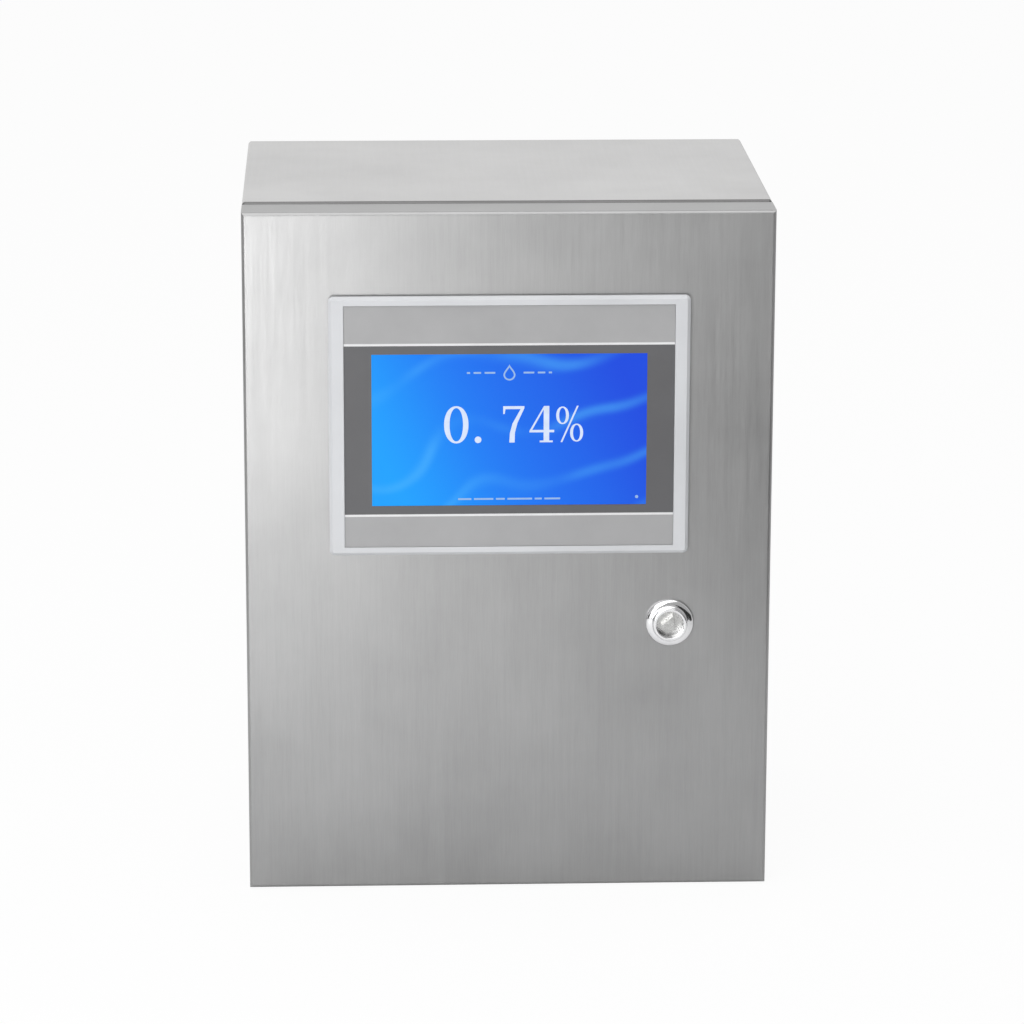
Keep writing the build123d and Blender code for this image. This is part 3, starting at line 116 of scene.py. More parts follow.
def ramp(tree, factor, interpolation, stops):
    """A colour ramp through (position, colour) stops."""
    node = add(tree, "ShaderNodeValToRGB", {0: factor})
    node.color_ramp.interpolation = interpolation
    elements = node.color_ramp.elements
    while len(elements) < len(stops):
        elements.new(0.5)
    for element, (position, colour) in zip(elements, stops):
        element.position = position
        element.color = (*colour, 1)
    return node.outputs[0]


def material(name):
    """A new material, its node tree and its shader."""
    made = bpy.data.materials.new(name)
    made.use_nodes = True
    tree = made.node_tree
    tree.nodes.clear()
    shader = add(tree, "ShaderNodeBsdfPrincipled")
    add(tree, "ShaderNodeOutputMaterial", {"Surface": shader.outputs[0]})
    return made, tree, shader


def plug(tree, shader, **values):
    """Feeds the shader's inputs, named with underscores for spaces."""
    for key, value in values.items():
        feed(tree, shader.inputs[key.replace("_", " ")], value)


# Material recipes

def brushed(name, colour, grain, roughness, streaks, depth=0.00002, painted_shade_from=None):
    """Sheet metal with a brushed grain: fine streaks along one direction over a soft mottling.

    In front of the depth given last it is darker: painted shade, as in a narrow gap where a fold sits.
    """
    made, tree, shader = material(name)
    fine = noise(tree, place(tree, grain), 2600, detail=2.0)
    broad = noise(tree, place(tree, grain), 420, detail=3.0)
    cloud = noise(tree, place(tree), 14, detail=4.0)
    streak = calc(tree, "ADD", calc(tree, "MULTIPLY", fine, 0.55), calc(tree, "MULTIPLY", broad, 0.45))
    mottling = spread(tree, cloud, 0.94, 1.06)
    tone = calc(tree, "MULTIPLY", spread(tree, streak, 1 - streaks, 1 + streaks), mottling)
    # Painted shade: darker in front of the given depth, where the front fold sits in the gap behind the door
    if painted_shade_from is not None:
        depthwise = axes(tree, where(tree))["Y"]
        shade = spread(tree, depthwise, 0.3, 1.0, painted_shade_from - 0.5 * MM, painted_shade_from + 0.3 * MM)
        tone = calc(tree, "MULTIPLY", tone, shade)
    plug(
        tree,
        shader,
        Base_Color=scaled(tree, colour, tone),
        Metallic=1.0,
        Roughness=spread(tree, streak, roughness - 0.05, roughness + 0.07),
        Normal=bump(tree, streak, 0.35, depth),
    )
    return made


def plated(name, colour, roughness):
    """Plated metal: bright, with soft cloudy patches and a faint grain."""
    made, tree, shader = material(name)
    cloud = noise(tree, place(tree), 90, detail=5.0)
    grain = noise(tree, place(tree), 1800, detail=2.0)
    plug(
        tree,
        shader,
        Base_Color=scaled(tree, colour, spread(tree, cloud, 0.94, 1.06)),
        Metallic=1.0,
        Roughness=spread(tree, cloud, roughness - 0.06, roughness + 0.08),
        Normal=bump(tree, grain, 0.15, 0.00002),
    )
    return made


def moulded(name, colour, roughness, grain=1500, relief=0.25, coat=0.0):
    """Moulded plastic: an even colour, spark-eroded grain and slight sheen changes."""
    made, tree, shader = material(name)
    cloud = noise(tree, place(tree), 22, detail=4.0)
    pits = noise(tree, place(tree), grain, detail=2.0, roughness=0.6)
    plug(
        tree,
        shader,
        Base_Color=scaled(tree, colour, spread(tree, cloud, 0.96, 1.04)),
        Roughness=spread(tree, cloud, roughness - 0.05, roughness + 0.05),
        Coat_Weight=coat,
        Coat_Roughness=0.25,
        Normal=bump(tree, pits, relief, 0.00004),
    )
    return made


def foamed(name, colour):
    """Foam or soft rubber: closed cells and a dull, dusty surface."""
    made, tree, shader = material(name)
    values = {"Vector": place(tree), "Scale": 900}
    cells = add(tree, "ShaderNodeTexVoronoi", values, feature="F1").outputs[0]
    dust = noise(tree, place(tree), 60, detail=5.0)
    plug(
        tree,
        shader,
        Base_Color=scaled(tree, colour, spread(tree, dust, 0.8, 1.5)),
        Roughness=spread(tree, dust, 0.75, 0.95),
        Normal=bump(tree, cells, 0.4, 0.0002),
    )
    return made


def board(name):
    """Solder resist over copper tracks: a woven pattern of lines, glossy."""
    made, tree, shader = material(name)
    spot = place(tree)
    values = {"Vector": spot, "Scale": 160, "Mortar Size": 0.12, "Brick Width": 0.9, "Row Height": 0.35}
    track = add(tree, "ShaderNodeTexBrick", values).outputs[1]
    cloud = noise(tree, spot, 120, detail=3.0)
    tone = calc(tree, "MULTIPLY", spread(tree, track, 1.0, 1.9, 0.0, 1.0), spread(tree, cloud, 0.85, 1.15))
    plug(
        tree,
        shader,
        Base_Color=scaled(tree, (0.012, 0.09, 0.03), tone),
        Roughness=0.28,
        Coat_Weight=0.6,
        Normal=bump(tree, track, 0.3, 0.00006),
    )
    return made


def film(name, bands):
    """Printed film in horizontal bands: each band is (lowest height in metres, colour)."""
    made, tree, shader = material(name)
    low, high = bands[0][0], bands[-1][0] + 50 * MM
    along = spread(tree, axes(tree, where(tree))["Z"], 0.0, 1.0, low, high)
    stops = [((z - low) / (high - low), colour) for z, colour in bands]
    print_colour = ramp(tree, along, "CONSTANT", stops)
    cloud = noise(tree, place(tree), 30, detail=4.0)
    pits = noise(tree, place(tree), 2600, detail=2.0)
    plug(
        tree,
        shader,
        Base_Color=scaled(tree, print_colour, spread(tree, cloud, 0.95, 1.05)),
        Roughness=spread(tree, pits, 0.42, 0.6),
        Normal=bump(tree, pits, 0.25, 0.00003),
    )
    return made


def lit_screen(name, centre):
    """The lit display under its glass: a blue field, lighter at the left, with soft waves of light."""
    made, tree, shader = material(name)
    from_centre = {0: where(tree), 1: (-centre.x, 0, -centre.z)}
    local = add(tree, "ShaderNodeVectorMath", from_centre, operation="ADD").outputs[0]
    x, _, z = axes(tree, local)
    slope = calc(tree, "ADD", calc(tree, "MULTIPLY", x, 6.2), calc(tree, "MULTIPLY", z, 3.2))
    field = ramp(
        tree,
        calc(tree, "ADD", slope, 0.5),
        "B_SPLINE",
        [
            (0.0, (0.0, 0.38, 1.0)),
            (0.35, (0.0, 0.18, 0.90)),
            (0.72, (0.0, 0.11, 0.80)),
            (1.0, (0.0, 0.05, 0.72)),
        ],
    )
    warp = noise(tree, local, 9, detail=1.0)
    wave = calc(tree, "ADD", calc(tree, "MULTIPLY", z, 150), calc(tree, "MULTIPLY", warp, 16))
    wave = calc(tree, "SINE", calc(tree, "ADD", wave, calc(tree, "MULTIPLY", x, -46)))
    crest = calc(tree, "POWER", calc(tree, "MAXIMUM", wave, 0.0), 5.0)
    fade = noise(tree, local, 22, detail=1.0)
    glow = calc(tree, "MULTIPLY", calc(tree, "MULTIPLY", crest, 0.35), spread(tree, fade, 0.0, 1.0))
    values = {0: glow, 6: field, 7: (0.08, 0.50, 1.0, 1.0)}
    plug(
        tree,
        shader,
        Base_Color=(0.004, 0.006, 0.012, 1),
        Roughness=0.1,
        Specular_IOR_Level=0.25,
        Emission_Color=add(tree, "ShaderNodeMix", values, data_type="RGBA").outputs[2],
        Emission_Strength=1.0,
    )
    return made


def glowing(name, colour, strength):
    """A lit area: print on the display, or an indicator."""
    made, tree, shader = material(name)
    cloud = noise(tree, place(tree), 260, detail=2.0)
    plug(
        tree,
        shader,
        Base_Color=(0.01, 0.01, 0.01, 1),
        Roughness=0.3,
        Emission_Color=(*colour, 1),
        Emission_Strength=spread(tree, cloud, strength * 0.94, strength * 1.04),
    )
    return made


def chromed(name):
    """Polished chrome with faint polishing haze."""
    made, tree, shader = material(name)
    haze = noise(tree, place(tree), 160, detail=5.0)
    plug(
        tree,
        shader,
        Base_Color=scaled(tree, (0.88, 0.88, 0.89), spread(tree, haze, 0.96, 1.02)),
        Metallic=1.0,
        Roughness=spread(tree, haze, 0.05, 0.12),
        Normal=bump(tree, haze, 0.06, 0.00003),
    )
    return made


def turned(name, centre, colour, roughness):
    """Metal turned on a lathe: fine rings round an axis along Y."""
    made, tree, shader = material(name)
    across = {0: where(tree), 1: (1, 0, 1)}
    flat = add(tree, "ShaderNodeVectorMath", across, operation="MULTIPLY").outputs[0]
    from_axis = {0: flat, 1: (centre.x, 0, centre.z)}
    away = add(tree, "ShaderNodeVectorMath", from_axis, operation="DISTANCE").outputs["Value"]
    rings = calc(tree, "SINE", calc(tree, "MULTIPLY", away, 9000))
    haze = noise(tree, place(tree), 500, detail=4.0)
    plug(
        tree,
        shader,
        Base_Color=scaled(tree, colour, spread(tree, haze, 0.8, 1.1)),
        Metallic=1.0,
        Roughness=spread(tree, haze, roughness - 0.05, roughness + 0.1),
        Normal=bump(tree, calc(tree, "ADD", rings, haze), 0.3, 0.00003),
    )
    return made


def middle(box):
    return (box[0] + box[1]) / 2


# Materials of the CAD nodes, by the record's slots

overlay_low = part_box("display_overlay")[0]
glass_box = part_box("touch_glass")
screen_centre = middle(glass_box)

# The film's bands: grey, a light line, dark round the screen, a light line, grey
LIGHT_LINE = 1.3 * MM
LOWER_LINE_HEIGHT = 224.0 * MM
UPPER_LINE_HEIGHT = 323.5 * MM
FILM_GREY = (0.36, 0.36, 0.365)
FILM_LIGHT = (0.72, 0.72, 0.73)
FILM_DARK = (0.105, 0.105, 0.11)

# The grain runs upwards on the door and the back, and across on the body that is wrapped round
UPRIGHT_GRAIN = (1, 1, 0.03)
WRAPPED_GRAIN = (1, 0.02, 1)
# The body's front fold begins at this Y, in the gap behind the door; in front of it the body's colour has
# painted shade
FRONT_FOLD = -81.3 * MM

SLOTS = {
    # Painted shade: the stainless of the door and the back is a darker copy of the body's stainless
    "brushed_stainless": brushed("brushed_stainless", (0.385, 0.385, 0.385), UPRIGHT_GRAIN, 0.38, 0.06),
    "zinc_steel": plated("zinc_steel", (0.66, 0.67, 0.68), 0.38),
    "zinc_fasteners": plated("zinc_fasteners", (0.72, 0.72, 0.70), 0.28),
    "bezel_silver": moulded("bezel_silver", (0.60, 0.61, 0.63), 0.42, relief=0.12),
    "front_film": film(
        "front_film",
        [
            (overlay_low.z, FILM_GREY),
            (LOWER_LINE_HEIGHT, FILM_LIGHT),
            (LOWER_LINE_HEIGHT + LIGHT_LINE, FILM_DARK),
            (UPPER_LINE_HEIGHT, FILM_LIGHT),
            (UPPER_LINE_HEIGHT + LIGHT_LINE, FILM_GREY),
        ],
    ),
    "screen_glass": lit_screen("screen_glass", screen_centre),
    "display_black": moulded("display_black", (0.02, 0.02, 0.022), 0.22, relief=0.05, coat=0.4),
    "housing_black": moulded("housing_black", (0.035, 0.036, 0.038), 0.55, grain=1100, relief=0.45),
    "board_green": board("board_green"),
    "connector_metal": plated("connector_metal", (0.72, 0.72, 0.72), 0.3),
    "plug_green": moulded("plug_green", (0.02, 0.26, 0.08), 0.38, relief=0.15, coat=0.2),
    "black_rubber": foamed("black_rubber", (0.028, 0.028, 0.03)),
    "chrome_lock": chromed("chrome_lock"),
    "duct_grey": moulded("duct_grey", (0.36, 0.37, 0.375), 0.5, relief=0.12),
    "breaker_white": moulded("breaker_white", (0.66, 0.66, 0.64), 0.42, relief=0.2),
    "toggle_black": moulded("toggle_black", (0.018, 0.018, 0.02), 0.35, relief=0.2, coat=0.2),
    "supply_metal": brushed("supply_metal", (0.60, 0.61, 0.62), UPRIGHT_GRAIN, 0.42, 0.05),
    "supply_front": moulded("supply_front", (0.06, 0.062, 0.066), 0.45, relief=0.3),
    "module_grey": moulded("module_grey", (0.44, 0.45, 0.46), 0.45, relief=0.25),
    "module_front": moulded("module_front", (0.03, 0.075, 0.19), 0.4, relief=0.2, coat=0.15),
    "socket_metal": plated("socket_metal", (0.70, 0.70, 0.70), 0.25),
    "entry_grey": moulded("entry_grey", (0.06, 0.063, 0.068), 0.5, relief=0.3),
    "terminal_grey": moulded("terminal_grey", (0.33, 0.335, 0.33), 0.48, relief=0.2),
    "earth_green": moulded("earth_green", (0.05, 0.30, 0.06), 0.45, relief=0.2),
}
for entry in frame["record"]["subparts"]:
    mesh = nodes[entry["node"]].data
    mesh.materials.clear()
    mesh.materials.append(SLOTS[entry["material_slot"]])

# Painted light: the body's stainless is a lighter copy of the door's, so its top and sides render lighter
wrapper_lit_colour = (0.54, 0.537, 0.535)
nodes["cabinet_shell"].data.materials[0] = brushed(
    "wrapper_stainless_lit_copy", wrapper_lit_colour, WRAPPED_GRAIN, 0.36, 0.03, depth=0.00001, painted_shade_from=FRONT_FOLD
)
rotor_centre = middle(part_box("lock_rotor"))
nodes["lock_rotor"].data.materials[0] = turned("turned_rotor", rotor_centre, (0.62, 0.62, 0.61), 0.22)


# Mesh helpers: all pieces are built in the shared frame, in metres

def frame_of(origin, axis):
    """A local frame at the origin whose third direction is the axis given and whose second points up."""
    n = Vector(axis).normalized()
    up = Vector((0, 1, 0)) if abs(n.z) > 0.9 else Vector((0, 0, 1))
    u = up.cross(n).normalized()
    return Vector(origin), u, n.cross(u), n


def at(local, a, b, h):
    """The point a across, b up and h along the axis of a local frame."""
    origin, u, v, n = local
    return origin + u * a + v * b + n * h


def ring(radius, count, turn=0.0):
    """The corners of a regular polygon."""
    angles = [turn + 2 * math.pi * i / count for i in range(count)]
    return [(radius * math.cos(angle), radius * math.sin(angle)) for angle in angles]


class Group:
    """Collects several closed shapes into one piece."""

    def __init__(self):
        self.vertices = []
        self.faces = []

    def prism(self, local, loops, low, high, top_scale=1.0):
        """An outline with holes, extruded from low to high along the local axis."""
        base = len(self.vertices)
        flat = [point for loop in loops for point in loop]
        for a, b in flat:
            self.vertices.append(at(local, a, b, low))
        for a, b in flat:
            self.vertices.append(at(local, a * top_scale, b * top_scale, high))
        total = len(flat)
        for tri in tessellate_polygon([[Vector((a, b, 0)) for a, b in loop] for loop in loops]):
            self.faces.append([base + i for i in tri])
            self.faces.append([base + total + i for i in reversed(tri)])
        start = base
        for loop in loops:
            for i in range(len(loop)):
                a, b = start + i, start + (i + 1) % len(loop)
                self.faces.append([a, b, b + total, a + total])
            start += len(loop)

    def lathe(self, local, profile, count, shape):
        """A closed profile of (radius, height) turned round the local axis, each point then put in shape."""
        base = len(self.vertices)
        for i in range(count):
            angle = 2 * math.pi * i / count
            for r, h in profile:
                a, b = shape(r * math.cos(angle), r * math.sin(angle), r, h)
                self.vertices.append(at(local, a, b, h))
        size = len(profile)
        for i in range(count):
            near, far = base + i * size, base + (i + 1) % count * size
            for k in range(size):
                m = (k + 1) % size
                self.faces.append([near + k, far + k, far + m, near + m])

    def slotted_head(self, local, radius, height):
        """A cheese-head screw: a low disc, and two half discs with the slot between them."""
        slot_width, steps = 0.9 * MM, 14
        slot_floor, bevel_from = height * 0.45, height * 0.85
        self.prism(local, [ring(radius, 2 * steps)], 0.0, slot_floor)
        half_slot = math.asin(slot_width / 2 / radius)
        for side in (0, 1):
            arc = []
            for i in range(steps + 1):
                angle = half_slot + (math.pi - 2 * half_slot) * i / steps + side * math.pi
                arc.append((radius * math.cos(angle), radius * math.sin(angle)))
            self.prism(local, [arc], slot_floor, bevel_from)
            self.prism(local, [[(a * 0.837, b * 0.97) for a, b in arc]], bevel_from, height)

    def hex_nut(self, local, width, height, bore):
        """A hexagon nut with a washer face and bevelled corners."""
        washer_top, bevel_from = height * 0.06, height * 0.86
        corners = ring(width / math.sqrt(3), 6, math.pi / 6)
        hole = ring(bore, 32)
        self.prism(local, [ring(width * 0.48, 40), hole], 0.0, washer_top)
        self.prism(local, [corners, hole], washer_top, bevel_from)
        self.prism(local, [[(a * 0.93, b * 0.93) for a, b in corners], hole], bevel_from, height)

    def made(self, name, slot, body, look=None, smooth=None):
        """The piece itself: smooth is the angle in degrees up to which its edges are shaded smooth."""
        mesh = bpy.data.meshes.new(name)
        mesh.from_pydata(self.vertices, [], self.faces)
        mesh.validate()
        shaped = bmesh.new()
        shaped.from_mesh(mesh)
        bmesh.ops.recalc_face_normals(shaped, faces=shaped.faces)
        shaped.to_mesh(mesh)
        shaped.free()
        if smooth is not None:
            mesh.shade_smooth()
            mesh.set_sharp_from_angle(angle=math.radians(smooth))
        mesh.materials.append(look or SLOTS[slot])
        made = bpy.data.objects.new(name, mesh)
        scene.collection.objects.link(made)
        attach(made, body)
        return made


# Lock housing: chromed flange with a domed shoulder and a rounded rim, barrel with thread and flats

def quarter(steps, first=1):
    """Sine and cosine at each step of a quarter turn."""
    angles = [i / steps * math.pi / 2 for i in range(first, steps + 1)]
    return [(math.sin(angle), math.cos(angle)) for angle in angles]


lock_low, lock_high = lock_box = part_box("lock_housing")
door_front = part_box("door_panel")[0].y
lock_centre = middle(lock_box)
lock_frame = frame_of((lock_centre.x, door_front, lock_centre.z), FRONT)
flange_radius = (lock_high.x - lock_low.x) / 2
front_height = door_front - lock_low.y
barrel_depth = lock_high.y - door_front
pocket_radius, rim_radius, barrel_radius, neck_radius = 7.75 * MM, 9.8 * MM, 11.0 * MM, 5.1 * MM
pocket_floor = 11.0 * MM
flange_edge, dome_height = 0.5 * MM, 2.5 * MM
cove, rim_round, pocket_round = 0.9 * MM, 0.7 * MM, 0.5 * MM
barrel_bevel, flat_depth = 0.8 * MM, 1.0 * MM
thread_turns, thread_depth, thread_start, thread_length = 11, 0.45 * MM, 0.6 * MM, barrel_depth - 1.8 * MM

dome_span = flange_radius - rim_radius - cove
profile = [(flange_radius, 0.0), (flange_radius, flange_edge)]
for s, c in quarter(8):
    profile.append((rim_radius + cove + dome_span * c, flange_edge + dome_height * s))
for s, c in quarter(5):
    profile.append((rim_radius + cove * (1 - s), flange_edge + dome_height + cove * (1 - c)))
profile.append((rim_radius, front_height - rim_round))
for s, c in quarter(5):
    profile.append((rim_radius - rim_round * (1 - c), front_height - rim_round * (1 - s)))
for s, c in quarter(5, first=0):
    profile.append((pocket_radius + pocket_round * (1 - s), front_height - pocket_round * (1 - c)))
profile += [
    (pocket_radius, -pocket_floor),
    (neck_radius, -pocket_floor),
    (neck_radius, -barrel_depth),
    (barrel_radius - barrel_bevel, -barrel_depth),
]
for i in range(thread_turns * 2 + 1):
    radius = barrel_radius if i % 2 else barrel_radius - thread_depth
    profile.append((radius, -barrel_depth + thread_start + i * thread_length / (thread_turns * 2)))
profile.append((barrel_radius, 0.0))


def flatted(a, b, r, h):
    """The barrel behind the door has a flat above and below."""
    limit = barrel_radius - flat_depth
    if h < 0 and r > pocket_radius:
        b = max(-limit, min(limit, b))
    return a, b


lock = Group()
lock.lathe(lock_frame, profile, 128, flatted)
lock_piece = lock.made("lock_body", "chrome_lock", "door", smooth=50)
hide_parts("lock_housing")

# Display content, in millimetres from the screen's centre: x to the right, z up

screen_frame = frame_of((screen_centre.x, glass_box[0].y, screen_centre.z), FRONT)
INK_LOW, INK_HIGH = 0.06 * MM, 0.22 * MM


def mm(points):
    return [(x * MM, z * MM) for x, z in points]


def oval(x, z, rx, rz, power=2.0):
    """A superellipse about a point; a power above 2 makes it squarer."""
    points = []
    for i in range(56):
        angle = 2 * math.pi * i / 56
        c, s = math.cos(angle), math.sin(angle)
        across = math.copysign(abs(c) ** (2 / power), c)
        upward = math.copysign(abs(s) ** (2 / power), s)
        points.append((x + rx * across, z + rz * upward))
    return mm(points)


def drop(x, z, size):
    """A water drop: a round foot drawn up to a point."""
    points = []
    for i in range(48):
        angle = 2 * math.pi * i / 48
        c, s = math.cos(angle), math.sin(angle)
        narrowing = 1 - max(s, 0.0) ** 1.5 * 0.98
        points.append((x + size * c * narrowing, z + size * (s if s < 0 else 1.75 * s)))
    return mm(points)


def ink(group, *loops):
    """A lit shape just in front of the glass."""
    group.prism(screen_frame, loops, INK_LOW, INK_HIGH)


def dash(group, x, z, width):
    """A short line, one millimetre thick, from its lower left corner."""
    ink(group, mm([(x, z), (x + width, z), (x + width, z + 1), (x, z + 1)]))


# The reading: nought, point, seven, four, percent
reading = Group()
ink(reading, oval(-30.0, 3.1, 6.9, 10.8, 2.1), oval(-30.0, 3.1, 3.8, 9.7, 2.1))
ink(reading, oval(-17.7, -5.7, 1.9, 1.9))
ink(
    reading,
    mm([
        (-3.5, 13.7), (8.5, 13.7), (8.5, 12.6), (4.6, 4.0), (3.2, -1.5), (3.0, -7.4), (0.0, -7.4),
        (0.3, -2.0), (1.8, 3.6), (6.4, 12.0), (-2.2, 12.0), (-2.6, 9.2), (-3.5, 9.2),
    ]),
)
ink(
    reading,
    mm([
        (19.6, 13.7), (22.6, 13.7), (22.6, -0.2), (25.4, -0.2), (25.4, -1.6), (22.6, -1.6), (22.6, -6.4),
        (24.6, -6.4), (24.6, -7.4), (17.2, -7.4), (17.2, -6.4), (19.4, -6.4), (19.4, -1.6), (11.4, -1.6),
        (11.4, -0.7),
    ]),
    mm([(19.4, 11.6), (19.4, -0.2), (12.9, -0.2)]),
)
ink(reading, oval(30.1, 8.2, 3.6, 5.1, 2.1), oval(30.1, 8.2, 1.9, 4.4, 2.1))
ink(reading, oval(38.1, -1.9, 3.7, 5.2, 2.1), oval(38.1, -1.9, 2.0, 4.5, 2.1))
ink(reading, mm([(38.2, 13.7), (39.2, 13.7), (30.0, -7.4), (29.0, -7.4)]))
reading_light = glowing("display_digits", (0.70, 0.79, 0.98), 0.95)
reading.made("display_digits", "screen_glass", "door", reading_light)

# A drop between dashes above the reading, a row of dashes and a dot below it
marks = Group()
ink(marks, drop(0.0, 32.0, 3.4), drop(0.0, 32.0, 2.5))
for side in (-1, 1):
    for x, width in ((8.0, 6.0), (16.0, 4.2), (22.2, 1.8)):
        dash(marks, x if side > 0 else -x - width, 32.6, width)
for x, width in ((-29.0, 7.5), (-20.0, 11.0), (-7.5, 5.0), (-1.0, 14.0), (14.5, 4.0), (20.0, 9.0)):
    dash(marks, x, -40.8, width)
ink(marks, oval(72.5, -39.6, 0.9, 0.9))
marks_light = glowing("display_marks", (0.36, 0.58, 0.95), 0.8)
marks.made("display_marks", "screen_glass", "door", marks_light)

# Fasteners of the case: nuts on the plate's stand-offs, rail screws, bolts of the cable entry

plate_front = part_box("mounting_plate")[0].y
studs_low, studs_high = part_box("plate_studs")
upper_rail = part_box("din_rail_upper")
upper_z = middle(upper_rail).z
lower_z = middle(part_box("din_rail_lower")).z
entry_low, entry_high = entry_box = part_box("cable_entry_frame")

fasteners = Group()

CABINET_MIDDLE = 200.0 * MM
STANDOFF_HALF_WIDTH = 7.0 * MM
STUD_WASHER = 1.5 * MM
stud_x = studs_high.x - STANDOFF_HALF_WIDTH / math.cos(math.pi / 6)
stud_z = (studs_high.z - studs_low.z) / 2 - STANDOFF_HALF_WIDTH
for x in (-stud_x, stud_x):
    for z in (CABINET_MIDDLE - stud_z, CABINET_MIDDLE + stud_z):
        washer_frame = frame_of((x, plate_front, z), FRONT)
        nut_frame = frame_of((x, plate_front - STUD_WASHER, z), FRONT)
        fasteners.prism(washer_frame, [ring(8.0 * MM, 40), ring(4.2 * MM, 32)], 0.0, STUD_WASHER)
        fasteners.hex_nut(nut_frame, 13.0 * MM, 6.5 * MM, 4.08 * MM)

RAIL_THICKNESS = 1.0 * MM
RAIL_SCREW_X = 75.0 * MM
RAIL_WASHER = 0.6 * MM
rail_web = upper_rail[1].y - RAIL_THICKNESS
for z in (upper_z, lower_z):
    for x in (-RAIL_SCREW_X, RAIL_SCREW_X):
        washer_frame = frame_of((x, rail_web, z), FRONT)
        screw_frame = frame_of((x, rail_web - RAIL_WASHER, z), FRONT)
        fasteners.prism(washer_frame, [ring(5.5 * MM, 32), ring(2.0 * MM, 24)], 0.0, RAIL_WASHER)
        fasteners.slotted_head(screw_frame, 4.4 * MM, 2.3 * MM)

LUG_TOP = 7.7 * MM
LUG_HALF_LENGTH = 8.0 * MM
BOLT_WASHER = 1.0 * MM
bolt_x = (entry_high.x - entry_low.x) / 2 - LUG_HALF_LENGTH
bolt_y = middle(entry_box).y
hex_socket = ring(4.6 * MM / math.sqrt(3), 6)
for x in (-bolt_x, bolt_x):
    washer_frame = frame_of((x, bolt_y, LUG_TOP), UP)
    bolt_frame = frame_of((x, bolt_y, LUG_TOP + BOLT_WASHER), UP)
    fasteners.prism(washer_frame, [ring(5.0 * MM, 36)], 0.0, BOLT_WASHER)
    fasteners.prism(bolt_frame, [ring(4.2 * MM, 32), hex_socket], 0.0, 4.4 * MM)
    fasteners.prism(bolt_frame, [ring(4.2 * MM, 32)], 0.0, 1.4 * MM)
fasteners.made("case_fasteners", "zinc_fasteners", "cabinet", smooth=30)

# Terminal screws, at the bottoms of their funnels

breaker_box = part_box("breaker_case")
supply_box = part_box("power_supply_terminals")
plugs_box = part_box("module_terminal_plugs")
blocks_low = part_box("terminal_blocks")[0]
earth_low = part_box("earth_terminals")[0]
brackets_low, brackets_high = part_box("end_brackets")

terminals = Group()


def screw_row(x, y, z, count, pitch, radius):
    """Slotted screws in a row with its middle at x, their heads' fronts at y."""
    head = 2.0 * MM
    for i in range(count):
        local = frame_of((x + (i - (count - 1) / 2) * pitch, y + head, z), FRONT)
        terminals.slotted_head(local, radius, head)


BLOCK_FIRST_SCREW, BLOCK_PITCH = 3.1 * MM, 6.3 * MM
BRACKET_INSET = 4.5 * MM
breaker_screw_y = breaker_box[0].y + 27.0 * MM
supply_screw_y = supply_box[0].y + 2.0 * MM
plug_screw_y = plugs_box[0].y + 2.0 * MM
block_screw_y = blocks_low.y + 5.0 * MM
for side in (-1, 1):
    screw_row(middle(breaker_box).x, breaker_screw_y, upper_z + side * 33.0 * MM, 2, 18.0 * MM, 2.9 * MM)
    screw_row(middle(supply_box).x, supply_screw_y, upper_z + side * 38.0 * MM, 4, 8.5 * MM, 2.5 * MM)
    for plug_x in (middle(plugs_box).x - 16.5 * MM, middle(plugs_box).x + 16.5 * MM):
        screw_row(plug_x, plug_screw_y, upper_z + side * 37.0 * MM, 4, 7.5 * MM, 2.1 * MM)
    for low_x, count in ((blocks_low.x, 6), (earth_low.x, 2)):
        block_x = low_x + BLOCK_FIRST_SCREW + BLOCK_PITCH * (count - 1) / 2
        screw_row(block_x, block_screw_y, lower_z + side * 7.5 * MM, count, BLOCK_PITCH, 1.8 * MM)
for x in (brackets_low.x + BRACKET_INSET, brackets_high.x - BRACKET_INSET):
    screw_row(x, brackets_low.y + 5.0 * MM, lower_z, 1, 0.0, 1.8 * MM)
terminals.made("terminal_screws", "zinc_fasteners", "cabinet", smooth=30)

# Indicators in the small windows of the power supply and the measuring module

green_light = glowing("indicator_green", (0.10, 0.85, 0.16), 1.0)
amber_light = glowing("indicator_amber", (0.95, 0.45, 0.05), 0.9)
cover_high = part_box("power_supply_cover")[1]
face_low, face_high = face_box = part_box("measuring_module_front")
WINDOW_INSET, LAMP_PITCH, LAMP_DEPTH = 8.0 * MM, 8.0 * MM, 1.0 * MM


def lamp(name, centre, look):
    """A small light pipe that fills its square window, with a bevelled front."""
    half, length, bevel = 1.4 * MM, 0.8 * MM, 0.25 * MM
    square = [(-half, -half), (half, -half), (half, half), (-half, half)]
    front = Vector(centre) + Vector(FRONT) * length
    cap = Group()
    cap.prism(frame_of(centre, FRONT), [square], 0.0, length)
    cap.prism(frame_of(front, FRONT), [square], 0.0, bevel, top_scale=0.7)
    cap.made(name, "front_film", "cabinet", look)


lamp("supply_lamp", (cover_high.x - WINDOW_INSET, cover_high.y, cover_high.z - WINDOW_INSET), green_light)
for i, look in enumerate((green_light, green_light, amber_light, green_light)):
    x = middle(face_box).x + (i - 1.5) * LAMP_PITCH
    lamp(f"module_lamp_{i + 1}", (x, face_low.y + LAMP_DEPTH, face_high.z - WINDOW_INSET), look)

# Stage: pale floor, world, lamps, cards and camera

